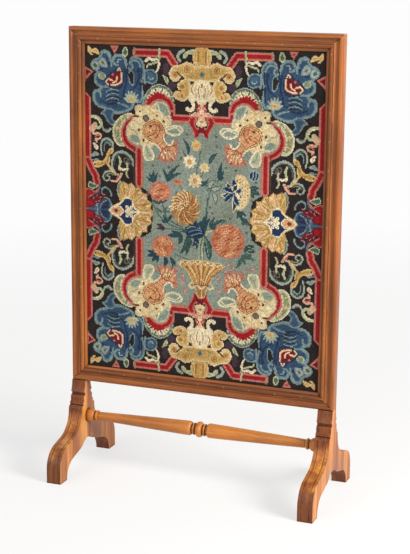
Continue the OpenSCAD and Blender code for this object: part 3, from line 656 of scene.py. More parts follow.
def work_lobe(c):
    """The cream flower in a lobe, with the pineapple that hangs from it."""
    c.patch([(79, 244), (86, 256), (98, 262), (112, 260), (124, 250), (133, 253), (143, 249), (152, 253),
             (162, 250),
             (167, 242), (162, 233), (168, 224), (178, 212), (187, 198), (187, 180), (178, 166), (164, 158),
             (149, 156), (146, 140), (139, 128), (130, 122), (119, 126), (116, 138), (124, 150),
             (112, 165), (92, 190),
             (72, 212), (75, 228)], (0, "stone"), (2, "cream"))
    for tip, wide, bend in (((88, 252), 26, 0.1), ((122, 252), 24, 0.0), ((142, 250), 17, 0.0),
                            ((164, 246), 20, 0.0),
                            ((168, 222), 22, 0.0), ((184, 204), 26, 0.0), ((182, 172), 26, -0.1),
                            ((152, 160), 20, -0.1),
                            ((78, 222), 22, 0.1)):
        c.leaf((122, 198), tip, wide, (0, "straw"), (2, "cream"), (7, "bone"), bend=bend, blunt=1.6)
    c.patch([(80, 230), (82, 246), (92, 257), (106, 259), (114, 250), (110, 240), (100, 236), (92, 226)],
            (0, "lime"), (2.4, "sky"))
    c.line([(104, 240), (108, 254)], 4, "bone", tip=2)
    c.patch([(152, 174), (160, 181), (173, 182), (180, 174), (172, 164), (158, 161), (150, 166)],
            (0, "lime"), (2.4, "sky"))
    c.line([(158, 182), (170, 192), (182, 192)], 3, "stone", tip=2)
    c.line([(150, 205), (164, 207), (174, 201)], 3, "straw", tip=2)
    c.line([(118, 232), (127, 240), (127, 250)], 5, "straw", tip=3)
    c.line([(80, 222), (90, 232), (88, 240)], 3, "stone", tip=2)
    c.line([(140, 238), (146, 246)], 3, "straw", tip=2)
    c.spot(138, 221, 8, "umber", "dove")
    for x, z in ((110, 228), (93, 216), (152, 236), (155, 193), (143, 170)):
        c.spot(x, z, 3, "umber")
    c.line([(156, 225), (170, 224)], 4, "umber", tip=2)
    c.patch([(118, 142), (116, 130), (124, 123), (135, 122), (143, 129), (145, 143), (143, 157), (136, 163),
             (127, 155)], (0, "bone"), (3.5, "lime"), (8, "stone"))
    c.line([(124, 134), (132, 142), (136, 154)], 2.4, "sage")
    c.patch([(44, 198), (50, 207), (62, 209), (76, 206), (88, 204), (90, 194), (80, 186), (64, 183),
             (51, 188)],
            (0, "bone"), (3, "lime"), (6, "sky"))
    c.line([(52, 194), (62, 202), (74, 200), (84, 196)], 2.6, "bone", tip=2)
    c.patch([(98, 178), (93, 172), (86, 166), (76, 163), (68, 168), (61, 172), (54, 165), (54, 165),
             (62, 160), (53, 153),
             (53, 153), (62, 149), (53, 141), (53, 141), (63, 138), (57, 128), (57, 128), (68, 130),
             (71, 119), (71, 119),
             (79, 127), (86, 117), (86, 117), (92, 126), (101, 120), (101, 120), (102, 130), (111, 129),
             (111, 129),
             (105, 138), (99, 143), (103, 154), (112, 163), (106, 172)],
            (0, "rose"), (2.2, "salmon"), (5, "peach"), (9, "straw"))
    c.patch([(92, 172), (89, 188), (94, 204), (104, 215), (117, 219), (129, 214), (141, 208), (147, 196),
             (144, 182),
             (134, 172), (120, 165), (108, 157)], (0, "rust"), (2, "straw"), (4.4, "rust"), (6.4, "peach"))
    c.line([(60, 164), (72, 160), (86, 158), (96, 150)], 2.6, "rust")
    c.line([(70, 172), (74, 163), (84, 163), (92, 174), (94, 186)], 4.5, "bone", tip=3)
    c.line([(98, 138), (100, 150), (112, 160), (124, 166)], 4.5, "bone", tip=2)
    for k in range(6):
        c.line([(62 + 9 * k, 126 - k % 2), (67 + 7 * k, 138), (78 + 3.4 * k, 156)], 2.4,
               "rust" if k % 2 else "rose")
    for x, z in ((72, 134), (84, 130), (96, 134), (66, 146), (80, 144), (92, 146)):
        c.line([(x - 3, z - 3), (x + 1, z + 3)], 2.4, "bone", tip=2)
    for k in range(4):
        c.line([(100 + 3 * k, 196 - 8 * k), (108 + 4 * k, 206 - 7 * k), (120 + 4 * k, 206 - 8 * k),
                (132 + 2 * k, 200 - 8 * k)], 2.4, "rust" if k % 2 == 0 else "gold")
    c.line([(104, 210), (103, 195), (108, 182), (118, 174)], 2.4, "rust")
    c.line([(114, 212), (112, 196), (120, 184), (132, 180)], 2.4, "rust")
    c.line([(122, 190), (130, 194), (136, 202)], 3, "straw")
    c.spot(126, 203, 3.2, "umber")
    c.spot(84, 150, 2.4, "rust")


def work_corner_spray(c):
    """The blue leaves in the corner: one mass with curled lobes, and a crimson flower on it."""
    c.patch([(255, 362), (262, 378), (272, 374), (284, 382), (282, 366), (270, 360), (274, 368)],
            (0, "straw"), (4, "gold"))
    c.line([(137, 352), (130, 358), (120, 355), (110, 357), (105, 348), (107, 336), (112, 328)], 7, "bone",
           tip=4)
    c.line([(112, 350), (122, 346), (132, 344), (135, 336)], 5, "lime", tip=3)
    c.leaf((84, 300), (98, 322), 9, (0, "lime"), (3, "sage"), bend=0.15)
    c.patch([(182, 366), (186, 382), (194, 378), (197, 366), (190, 359)], (0, "lime"), (3, "leaf"))
    c.patch([(142, 324), (136, 332), (124, 334), (113, 328), (108, 316), (112, 304), (123, 299),
             (134, 303), (142, 300)],
            (0, "haze"), (3.4, "blue"), (8, "steel"))
    c.line([(120, 314), (126, 310), (131, 315)], 3, "ice", tip=2)
    c.patch([(150, 256), (143, 275), (147, 300), (140, 322), (142, 345), (151, 358), (166, 362),
             (178, 356), (183, 344),
             (186, 353), (196, 364), (210, 366), (220, 360), (225, 350), (224, 361), (233, 372), (247, 373),
             (253, 362), (259, 355), (271, 351), (277, 340), (271, 328), (262, 321), (268, 308), (263, 294),
             (252, 287), (264, 281), (271, 269), (268, 252), (257, 242), (244, 239), (238, 226), (224, 228),
             (204, 229), (184, 234), (171, 243), (168, 253)], (0, "haze"), (4.5, "steel"), (7, "blue"))
    for points in ([(156, 332), (156, 308), (164, 292), (176, 284)],
                   [(190, 330), (186, 308), (192, 280), (196, 262)],
                   [(228, 346), (238, 336), (252, 330)], [(214, 252), (232, 250), (250, 256)],
                   [(150, 300), (152, 270)]):
        c.line(points, 6, "navy", tip=3)
    c.line([(186, 336), (176, 331), (170, 338), (175, 346), (167, 352), (156, 348), (151, 338)], 4.5,
           "haze")
    c.patch([(168, 296), (166, 316), (172, 329), (180, 326), (182, 312), (177, 298)], (0, "haze"),
            (2.4, "soil"))
    c.line([(150, 334), (149, 312), (155, 296)], 2.6, "soil", tip=1.6)
    c.line([(180, 352), (184, 330), (180, 312)], 2.6, "soil", tip=1.6)
    c.line([(216, 268), (200, 262), (186, 262)], 2.6, "soil", tip=1.6)
    c.line([(236, 262), (224, 258), (212, 260)], 2.6, "soil", tip=1.6)
    c.line([(188, 340), (190, 353), (199, 361), (211, 361), (219, 352), (216, 342), (208, 341)], 5, "haze")
    c.line([(208, 346), (206, 353), (199, 352)], 4, "ice", tip=3)
    c.line([(224, 338), (228, 356), (238, 368), (250, 368)], 4.5, "haze")
    c.patch([(234, 334), (236, 346), (244, 356), (254, 352), (256, 342), (248, 334)], (0, "haze"),
            (3, "stone"), (7, "dove"))
    c.patch([(256, 328), (254, 340), (262, 349), (273, 346), (277, 336), (268, 326)], (0, "haze"),
            (3, "stone"), (7, "leaf"))
    c.patch([(240, 306), (240, 318), (250, 322), (258, 314), (252, 306)], (0, "lime"), (2.6, "sage"))
    c.line([(244, 318), (256, 321), (266, 312), (264, 297), (252, 289), (236, 290), (222, 286)], 5.5,
           "haze")
    c.line([(252, 266), (254, 276), (264, 280), (271, 270), (268, 254), (257, 244), (242, 240),
            (230, 234)], 5.5, "haze")
    for z in (281, 271, 261):
        c.line([(206, z), (220, z + 3), (232, z), (238, z - 4)], 2.4, "haze")
        c.line([(208, z - 5), (222, z - 3), (234, z - 6)], 3, "soil", tip=2)
    c.line([(168, 251), (175, 241), (190, 234), (208, 229), (224, 228)], 5, "haze")
    c.line([(182, 245), (196, 250), (210, 253)], 5, "haze", tip=3)
    c.patch([(217, 233), (222, 218), (214, 209), (218, 200), (229, 202), (238, 212), (243, 222),
             (252, 226), (247, 233),
             (238, 240), (226, 240)], (0, "haze"), (2.6, "steel"), (6, "blue"))
    c.patch([(197, 290), (192, 310), (196, 328), (207, 335), (218, 326), (232, 318), (242, 306),
             (238, 293), (224, 286),
             (208, 285)], (0, "navy"), (3.4, "plum"), (8, "wine"))
    for points, wide in (([(198, 322), (199, 304), (208, 296), (224, 294)], 4.5),
                         ([(201, 327), (205, 333), (209, 327)], 3.4),
                         ([(210, 313), (212, 304), (220, 299)], 4),
                         ([(222, 304), (232, 307), (238, 300), (232, 294)], 4)):
        c.line(points, wide, "blush")
        c.line(points, 2.2, "cream")
    c.spot(221, 318, 3, "rose")
    for a in range(20, 170, 24):
        turn = math.radians(a)
        c.leaf((174, 254), (174 + 22 * math.cos(turn), 257 + 28 * math.sin(turn)), 8, (0, "stone"),
               (2.4, "lime"))
    c.spot(174, 262, 6, "straw", "gold")


def work_side(c):
    """The scrolls between the corner and the middle of a side."""
    c.line([(274, 219), (262, 217), (253, 209), (251, 199), (258, 193), (268, 194)], 8, "lime", tip=6)
    c.line([(270, 216), (260, 213), (255, 204)], 3, "bone", tip=2)
    c.patch([(262, 202), (268, 206), (276, 200), (282, 190), (276, 182), (268, 186), (262, 194)],
            (0, "lime"), (2.4, "blush"))
    c.line([(274, 186), (270, 178), (260, 180), (252, 176), (256, 168), (266, 166), (262, 160)], 6,
           "blush", tip=4)
    c.line([(258, 176), (268, 172)], 2.6, "rose")
    c.line([(228, 192), (234, 186), (244, 188), (248, 196)], 6, "stone", tip=4)
    c.line([(232, 190), (240, 190)], 2.4, "leaf")
    c.line([(222, 146), (222, 158), (230, 167), (242, 168), (250, 160), (252, 146), (249, 130)], 6,
           "stone", tip=4)
    c.line([(228, 154), (236, 160), (243, 154), (244, 140)], 4, "haze", tip=3)
    c.line([(226, 150), (226, 158), (234, 164), (244, 162)], 2.4, "leaf")
    c.leaf((262, 140), (273, 158), 10, (0, "bone"), (3, "blush"), bend=0.1)
    c.leaf((256, 130), (280, 124), 10, (0, "stone"), (2.6, "haze"), bend=0.16)
    c.leaf((256, 118), (276, 118), 7, (0, "haze"), bend=-0.1)
    c.line([(169, 110), (172, 122), (182, 134), (198, 140), (214, 135), (223, 120), (223, 102), (214, 88),
            (204, 84)],
           6, "stone", tip=4)
    c.line([(176, 122), (188, 133), (204, 135), (216, 124), (218, 108)], 2.4, "leaf")
    c.line([(172, 116), (178, 124), (186, 118), (178, 112), (186, 126), (194, 122), (190, 114)], 2.6,
           "dove")
    c.line([(186, 112), (184, 100), (188, 90), (183, 80)], 5.5, "lime", tip=4)
    c.line([(206, 127), (202, 116), (206, 104), (204, 96)], 5.5, "lime", tip=4)
    c.line([(186, 100), (196, 98), (206, 102)], 5, "bone")
    c.line([(200, 88), (205, 78), (213, 70), (226, 70)], 5.5, "blush", tip=4)
    c.line([(200, 86), (208, 82), (212, 76)], 2.4, "rose")
    c.line([(214, 86), (226, 92), (240, 90), (247, 80), (243, 71), (233, 71), (231, 79), (238, 82)], 5,
           "stone", tip=3)
    c.line([(220, 84), (232, 87), (241, 80)], 2.4, "sage")
    c.patch([(220, 146), (222, 136), (230, 130), (228, 118), (232, 110), (222, 98), (212, 84), (218, 84),
             (230, 98),
             (240, 108), (252, 102), (266, 100), (274, 108), (266, 114), (250, 116), (242, 122), (236, 136),
             (230, 146)], (0, "straw"), (2.6, "gold"))
    c.line([(228, 140), (233, 124), (237, 112), (250, 109), (264, 107)], 2.4, "ochre")
    c.spot(268, 106, 4.5, "straw", "umber")


def work_mid_side(c):
    """Half of the shell, its cartouche and the palmette in the middle of a side."""
    c.patch([(228, -3), (225, 12), (230, 25), (242, 31), (255, 27), (263, 14), (265, -3)],
            (0, "haze"), (3.5, "blue"), (8, "navy"))
    c.patch([(262, -3), (263, 12), (272, 21), (284, 16), (290, 6), (290, -3)], (0, "haze"), (3.4, "steel"),
            (7, "blue"))
    c.line([(226, 34), (230, 46), (241, 53), (250, 48), (250, 38), (242, 36)], 4.5, "haze", tip=3)
    c.line([(258, 62), (256, 50), (262, 40), (272, 36)], 4, "steel", tip=3)
    c.line([(240, 22), (250, 16), (256, 4)], 3, "haze", tip=2)
    for tip, bend in (((238, 40), 0.1), ((254, 44), 0.1), ((266, 38), 0.1), ((242, 26), -0.1)):
        c.leaf((280, 12), tip, 8, (0, "wine"), (2.6, "plum"), bend=bend)
        c.line([(280, 12), ((280 + 2 * tip[0]) / 3, (12 + 2 * tip[1]) / 3)], 2.2, "rose", tip=2)
    c.patch([(272, 6), (270, 18), (278, 24), (294, 26), (294, 4)], (0, "wine"), (3, "red"))
    c.line([(236, 10), (246, 12), (254, 4)], 3, "plum", tip=2)
    c.line([(203, 68), (208, 56), (208, 42), (202, 30)], 7, "stone", tip=5)
    c.line([(205, 64), (208, 50), (205, 36)], 2.6, "leaf")
    arc = [(190 + 60 * math.cos(math.radians(a)), 60 * math.sin(math.radians(a))) for a in range(75, 196,
                                                                                                 15)]
    c.patch([(200, -3), *arc, (180, -3)][::-1], (0, "gold"))
    for k in range(6):
        a = math.radians(178 - k * 18.5)
        tip = (190 + (73 - k) * math.cos(a), 71 * math.sin(a))
        c.leaf((190 + 20 * math.cos(a), 20 * math.sin(a)), tip, 26, (0, "tan"), (1.8, "straw"),
               (5, "gold" if k % 2 else "peach"),
               bend=0.05, blunt=1.3)
        c.line([(190 + 40 * math.cos(a), 40 * math.sin(a)), tip], 2.6, "ochre" if k % 2 else "cream", tip=2)
        c.spot(190 + 60 * math.cos(a + 0.08), 58 * math.sin(a + 0.08), 3.4, "cream", "straw")
    c.patch([(152, -3), (155, 5), (165, 12), (170, 26), (178, 34), (188, 36), (197, 30), (203, 22),
             (213, 16), (224, 10),
             (230, -3)], (0, "straw"), (2, "bone"), (5, "navy"))
    c.line([(174, 25), (183, 30), (193, 27)], 2.6, "blue", tip=2)
    for a, reach in ((0, 12), (62, 17), (118, 18), (180, 15)):
        turn = math.radians(a)
        c.leaf((180, 0), (180 + reach * math.cos(turn), reach * math.sin(turn)), 8, (0, "bone"),
               (2.6, "ice"), blunt=0.6)
    c.patch([(196, -3), (197, 6), (205, 12), (216, 10), (226, 6), (228, -3)], (0, "bone"), (2.6, "peach"),
            (6, "straw"))
    c.spot(214, 0, 5, "rust", "umber")
    c.spot(180, 0, 3.4, "straw")


def ring_point(x, z, angle, reach, height=None):
    return (x + reach * math.cos(angle), z + (height or reach) * math.sin(angle))


def star(c, x, z, r, petals, outer, heart, core, turn=0.3):
    """An open flower of narrow pointed petals."""
    for k in range(petals):
        a = turn + 2 * math.pi * k / petals
        c.leaf((x, z), ring_point(x, z, a, r), 2.6 * r / petals + 3, (0, outer), blunt=0.4)
    c.spot(x, z, r * 0.36, heart, core)


def fan(c, base, tips, width, *bands, bend=0.1):
    for tip in tips:
        c.leaf(base, tip, width, *bands, bend=bend)


def ruffled(c, x, z, w, h, teeth, *bands):
    """A carnation's head: a toothed outline."""
    points = []
    for k in range(teeth):
        a = 2 * math.pi * k / teeth
        points.append(ring_point(x, z, a, w, h))
        points.append(ring_point(x, z, a + math.pi / teeth, w * 0.84, h * 0.84))
    c.patch(points, *bands, smooth=False)


def squiggles(c, x, z, w, h, pitch, slant, wools):
    """Wavy strokes with gaps, side by side along one slant, that fill a flower's head."""
    run, side = (math.cos(slant), math.sin(slant)), (-math.sin(slant), math.cos(slant))
    rows, steps = int(max(w, h) / pitch), int(max(w, h) / 5)
    for row in range(-rows, rows + 1):
        stroke = []
        for k in range(-steps, steps + 2):
            along, off = 5 * k, pitch * row + (1.3 if k % 2 else -1.3)
            px, pz = along * run[0] + off * side[0], along * run[1] + off * side[1]
            if math.hypot(px / w, pz / h) < 0.9 and (k + 2 * row) % 5:
                stroke.append((x + px, z + pz))
            elif stroke:
                if len(stroke) > 1:
                    c.line(stroke, 2.6, wools[(row + k // 5) % len(wools)], tip=2)
                stroke = []


def work_stems(c):
    for points, wide in (
            ([(-2, 152), (-4, 132), (-10, 110), (-8, 90)], 2.6), ([(8, 110), (2, 96), (-6, 90)], 2.4),
            ([(16, 44), (15, 24), (14, 0), (12, -32)], 4.5), ([(-52, 72), (-46, 60)], 2.6),
            ([(88, 20), (96, 6), (112, -12)], 3), ([(-96, 30), (-92, 6), (-76, -14), (-44, -28)], 3),
            ([(-122, 30), (-112, 8), (-96, -12), (-70, -26), (-40, -32)], 3),
            ([(18, 40), (22, 60), (34, 72)], 2.6),
            ([(-88, -34), (-62, -34), (-34, -32)], 3), ([(-66, -92), (-40, -100), (-20, -106)], 2.4),
            ([(40, 84), (46, 100), (50, 128)], 3), ([(12, -30), (34, -26), (60, -4)], 3)):
        c.line(points, wide, "leaf")
    for x, turn in ((-2, 0.0), (6, 0.5)):
        c.line([(x, -102), (x - 1, -70), (x + 4, -48), (x + 14, -34), (x + 32, -29)], 4, "lime", tip=3)
        c.line([(x + 2, -102), (x + 1, -70), (x + 6, -50)], 2.4, "leaf")


def work_leaves(c):
    fan(c, (-32, 140), [(-46, 180)], 8, (0, "pine"), bend=-0.14)
    fan(c, (-34, 136), [(-44, 150)], 6, (0, "leaf"))
    fan(c, (19, 124), [(40, 151)], 10, (0, "pine"), (3.4, "leaf"))
    fan(c, (46, 88), [(52, 134), (44, 118), (56, 112), (42, 104), (57, 98)], 8, (0, "pine"), bend=0.05)
    fan(c, (-84, 76), [(-98, 108), (-90, 100)], 7, (0, "pine"), bend=-0.1)
    fan(c, (-84, 76), [(-50, 120), (-46, 100), (-62, 112)], 8, (0, "pine"), (3, "leaf"))
    fan(c, (-114, 74), [(-130, 98), (-118, 103), (-136, 86), (-106, 98)], 7, (0, "pine"))
    fan(c, (-6, 80), [(20, 92), (16, 80)], 7, (0, "pine"), bend=-0.2)
    for base, tip, wide, bend in (((16, 66), (38, 88), 13, 0.1), ((22, 66), (52, 76), 12, -0.1),
                                  ((30, 60), (36, 32), 12, 0.1),
                                  ((18, 60), (14, 78), 8, 0.1)):
        c.leaf(base, tip, wide, (0, "leaf"), (2.2, "stone"), bend=bend)
    fan(c, (114, 68), [(142, 76), (144, 60), (130, 52)], 12, (0, "pine"), (3.4, "leaf"))
    fan(c, (90, 20), [(102, -4), (88, 2), (112, 8)], 8, (0, "pine"))
    fan(c, (100, 2), [(122, -14), (116, -2), (104, -14)], 8, (0, "pine"), (3, "leaf"))
    fan(c, (-98, 26), [(-120, 32), (-104, 44), (-84, 34)], 7, (0, "pine"), (3, "leaf"))
    fan(c, (-94, 4), [(-112, 16), (-82, 18), (-76, 6)], 7, (0, "leaf"))
    fan(c, (-80, -16), [(-94, -2), (-70, 2), (-100, -14)], 8, (0, "pine"))
    fan(c, (-94, -28), [(-112, -22), (-110, -36), (-96, -40)], 8, (0, "plum"), (3, "navy"))
    fan(c, (12, -30), [(8, 4), (18, 14), (24, 0), (4, -10)], 8, (0, "pine"), (3, "navy"))
    fan(c, (24, -26), [(36, 4), (46, -8), (60, -2), (44, -20)], 8, (0, "pine"), (3, "leaf"))
    fan(c, (-6, -36), [(-42, -24), (-36, -14), (-24, -6), (-12, -2), (-46, -36), (2, -8)], 12, (0, "pine"),
        (3, "navy"))
    c.patch([(-36, -28), (-20, -18), (0, -20), (12, -30), (8, -44), (-8, -52), (-26, -50), (-38, -40)],
            (0, "pine"), (3, "navy"))
    for points in ([(-34, -30), (-20, -24), (-8, -26)], [(-30, -38), (-16, -32), (-2, -32)],
                   [(-24, -46), (-10, -40), (4, -38)],
                   [(-4, -24), (2, -34)]):
        c.line(points, 2.4, "haze", tip=2)
    c.line([(-30, -36), (-56, -40), (-80, -48)], 3.4, "pine", tip=2)
    fan(c, (-52, -40), [(-76, -36), (-70, -54), (-84, -50), (-56, -72), (-48, -66)], 8, (0, "pine"))
    fan(c, (-32, -44), [(-38, -94), (-46, -82), (-28, -76), (-52, -92)], 11, (0, "pine"), (3.6, "leaf"))
    fan(c, (-10, -48), [(-12, -78), (-20, -70)], 9, (0, "navy"), (3.4, "haze"))
    c.leaf((10, -42), (22, -102), 17, (0, "pine"), (4, "leaf"), bend=0.06, blunt=0.3)
    c.line([(12, -50), (16, -72), (20, -92)], 2.4, "haze", tip=2)
    fan(c, (-112, -92), [(-134, -88), (-136, -102), (-124, -116), (-110, -118)], 10, (0, "pine"),
        (3.4, "navy"))
    fan(c, (-90, -100), [(-92, -126), (-84, -120)], 8, (0, "pine"), (3, "navy"))
    fan(c, (-76, -100), [(-62, -124), (-70, -126)], 7, (0, "pine"))
    fan(c, (106, -70), [(134, -58), (136, -72), (126, -84)], 11, (0, "pine"), (3.6, "sage"))
    fan(c, (98, -88), [(118, -82), (136, -92), (112, -104), (88, -114)], 9, (0, "leaf"), (3.2, "pine"))


def work_blooms(c):
    star(c, -12, 165, 14, 8, "straw", "peach", "gold", 0.2)
    star(c, -29, 127, 17, 9, "bone", "peach", "gold", 0.5)
    star(c, 8, 115, 13, 8, "cream", "gold", "straw", 0.1)
    star(c, -15, 84, 19, 9, "cream", "peach", "gold", 0.3)
    c.leaf((-70, 80), (-44, 77), 13, (0, "salmon"), (4, "rust"), bend=-0.04)
    ruffled(c, -102, 53, 30, 25, 15, (0, "rose"), (2.4, "salmon"))
    squiggles(c, -102, 53, 28, 23, 3.6, 0.5, ("blush", "rust", "peach", "salmon"))
    c.patch([ring_point(-39, 19, a, 35, 39) for a in np.linspace(0, 2 * math.pi, 13)[:-1]], (0, "tan"),
            (7, "rust"))
    for k in range(112, 1, -1):
        a, reach = 2.4 * k, 3.5 * math.sqrt(k)
        lit = math.cos(a - 2.2) - reach / 60
        wool = ("cream", "straw")[k % 2] if lit > 0 else ("straw", "gold", "tan")[k % 3]
        c.line([ring_point(-39, 19, a, reach - 3, 1.1 * reach - 3),
                ring_point(-39, 19, a + 0.1, reach + 4, 1.1 * reach + 4)],
               3.6, wool, tip=1.8)
    c.patch([(84, 100), (98, 104), (110, 98), (117, 84), (120, 66), (118, 48), (110, 34), (98, 24),
             (86, 26), (80, 60)],
            (0, "straw"), (2.4, "cream"))
    for k in range(9):
        for row in range(5):
            x, z = 88 + 6.4 * row, 34 + 8 * k + 4 * (row % 2)
            if math.hypot((x - 94) / 25, (z - 64) / 38) < 0.92:
                c.spot(x, z, 1.9, "ochre" if (k + row) % 3 else "gold")
    blue_tips = ((77, 98), (62, 86), (50, 72), (48, 54), (56, 36), (79, 16), (96, 30), (102, 48),
                 (100, 74), (90, 84))
    for k, tip in enumerate(blue_tips):
        c.leaf((80, 60), tip, 13, (0, "bone" if k % 2 else "ice"), (2.2, "navy"),
               bend=0.08 if k % 2 else -0.08, blunt=0.2)
    for tip in ((68, 80), (60, 60), (70, 40), (92, 44), (92, 68)):
        c.line([(80, 60), tip], 2.4, "blue", tip=2)
    c.leaf((82, 66), (94, 50), 9, (0, "bone"), blunt=0.6)
    c.spot(128, 103, 13, "ice", "navy")
    for dx in (-5, 2):
        c.line([(128 + dx, 94), (131 + dx, 104), (130 + dx, 112)], 2.4, "ice")
    ruffled(c, 67, -52, 45, 45, 22, (0, "rose"), (2.2, "salmon"))
    squiggles(c, 67, -52, 42, 42, 3.6, 0.6, ("blush", "rust", "peach", "salmon", "straw", "rust"))
    ruffled(c, -94, -76, 31, 28, 15, (0, "rose"), (2.4, "salmon"))
    squiggles(c, -94, -76, 29, 26, 3.6, -0.9, ("peach", "rust", "straw", "salmon"))


VASE_MID_X = 2


def vase_side(side, *points):
    return [(VASE_MID_X + side * x, z) for x, z in points]


def work_vase(c):
    """A trumpet of flutes over a scrolled collar."""
    right = vase_side(1, (0, -101), (22, -103), (42, -104), (57, -111), (52, -119), (42, -121), (33, -134),
                      (25, -150), (20, -160),
                      (14, -172), (8, -190))
    left = vase_side(-1, (8, -190), (14, -172), (20, -160), (25, -150), (33, -134), (42, -121), (52, -119),
                     (57, -111),
                     (42, -104), (22, -103))
    c.patch(right + left, (0, "straw"), (2.4, "tan"))
    for k in range(-3, 4):
        lift = 1.5 * abs(k)
        c.line([(VASE_MID_X + 4.5 * k, -158), (VASE_MID_X + 8 * k, -138),
                (VASE_MID_X + 15.5 * k, -112 - lift)], 4.5,
               "gold" if k % 2 else "straw", tip=7)
        c.line([(VASE_MID_X + 4.5 * k + 2, -158), (VASE_MID_X + 8 * k + 4, -138),
                (VASE_MID_X + 15.5 * k + 7, -114 - lift)], 2.4,
               "rust")
        c.line(vase_side(1, (15.5 * k - 7, -111 - lift), (15.5 * k, -105 - lift),
                         (15.5 * k + 7, -111 - lift)), 3, "cream")
    c.line(vase_side(1, (-25, -158), (-30, -164), (-22, -169), (-12, -162), (0, -169), (12, -162),
                     (22, -169), (30, -164),
                     (25, -158)), 4.5, "cream")
    c.line(vase_side(1, (-18, -162), (0, -161), (18, -162)), 2.6, "rust")
    for x in (-6, 1, 8):
        c.line([(VASE_MID_X + x, -172), (VASE_MID_X + 0.6 * x, -190)], 2.6, "straw" if x == 1 else "ochre")


def work_seeds(c):
    for x, z in ((-35, 188), (36, 187), (-50, 133), (37, 165), (-120, 112), (-80, 110), (-103, 88),
                 (-62, 53), (-133, 45),
                 (28, 10), (85, 113), (133, 88), (62, 118), (-44, 150), (23, 24), (112, -28), (-58, -22),
                 (72, 2)):
        c.spot(x, z, 3.4, "dove", "plum")
    for x, z in ((-44, -142), (-44, -158), (-38, -178), (44, -142), (70, -107), (82, -114), (110, -120),
                 (130, -112),
                 (-112, -130), (46, -172), (62, -124), (-60, -126)):
        c.spot(x, z, 4.4, "rose", "blush", "bone")


def whole_chart():
    """The worked panel: one quarter of the border turned over on both axes, and the flowers on top."""
    xs = (np.arange(STITCHES_X) + 0.5 - STITCHES_X / 2) * PANEL_W / STITCHES_X
    zs = (np.arange(STITCHES_Z) + 0.5 - STITCHES_Z / 2) * PANEL_H / STITCHES_Z
    quarter = Chart(xs[STITCHES_X // 2:], zs[STITCHES_Z // 2:], "soil")
    for work in (work_straps, work_corner_spray, work_side, work_medallion, work_crown, work_top_ornament,
                 work_lobe, work_mid_side):
        work(quarter)
    upper = np.hstack([quarter.wool[:, ::-1], quarter.wool])
    panel = Chart(xs, zs, "soil")
    panel.wool = np.vstack([upper[::-1], upper])
    for work in (work_stems, work_leaves, work_blooms, work_vase, work_seeds):
        work(panel)
    return panel.wool


PANEL_MID_Z = 643
CANVAS_FRONT_Y = -5.0
CANVAS_T = 1.4
TURNOVER_BACK_Y = 8.8
TURNOVER_W = 22
CANVAS_ROUND = 0.5
DYE_SEED = 11
UNEVEN_STITCH = 0.16
DYE_LOT = 12
STITCH_TONE, LOT_TONE, ROW_TONE, STITCH_TINT = 0.30, 0.09, 0.03, 0.06
BARE_CANVAS = srgb(150, 128, 92)[:3]


def needlework_mesh():
    """The front is one face for each stitch. Rings of faces carry the canvas round the strainer, and one face
    closes the shell inside."""
    nx, nz = STITCHES_X, STITCHES_Z
    edge = CANVAS_ROUND
    spread = np.linspace(-1, 1, nx + 1)
    rise = np.linspace(-1, 1, nz + 1)
    x, z = np.meshgrid(spread, rise)
    border = ([(0, j) for j in range(nx)] + [(i, nx) for i in range(nz)]
              + [(nz, j) for j in range(nx, 0, -1)] + [(i, 0) for i in range(nz, 0, -1)])
    verts = [np.column_stack([x.ravel() * (PANEL_W / 2 - edge), np.full(x.size, CANVAS_FRONT_Y),
                              z.ravel() * (PANEL_H / 2 - edge)])]
    rng = np.random.RandomState(DYE_SEED)
    verts[0][:, 1] += rng.uniform(0, UNEVEN_STITCH, x.size)
    start = (np.arange(nz)[:, None] * (nx + 1) + np.arange(nx)[None, :]).ravel()
    faces = [tuple(face) for face in np.column_stack([start, start + 1, start + nx + 2,
                                                      start + nx + 1]).tolist()]
    ring = [i * (nx + 1) + j for i, j in border]
    count = len(border)
    unit = np.array([(spread[j], rise[i]) for i, j in border])
    back, inner_y = TURNOVER_BACK_Y, TURNOVER_BACK_Y - CANVAS_T
    for inset, y in ((0, CANVAS_FRONT_Y + edge), (0, back - edge), (edge, back), (TURNOVER_W, back),
                     (TURNOVER_W, inner_y), (CANVAS_T, inner_y), (CANVAS_T, CANVAS_FRONT_Y + CANVAS_T)):
        base = sum(len(part) for part in verts)
        verts.append(np.column_stack([unit[:, 0] * (PANEL_W / 2 - inset), np.full(count, y),
                                      unit[:, 1] * (PANEL_H / 2 - inset)]))
        fresh = list(range(base, base + count))
        faces += [(ring[k], fresh[k], fresh[(k + 1) % count], ring[(k + 1) % count]) for k in range(count)]
        ring = fresh
    faces.append(tuple(ring[::-1]))
    verts = np.vstack(verts)
    verts[:, 2] += PANEL_MID_Z
    mesh = bpy.data.meshes.new("needlework_cloth")
    mesh.from_pydata((verts * MM).tolist(), [], faces)
    return mesh


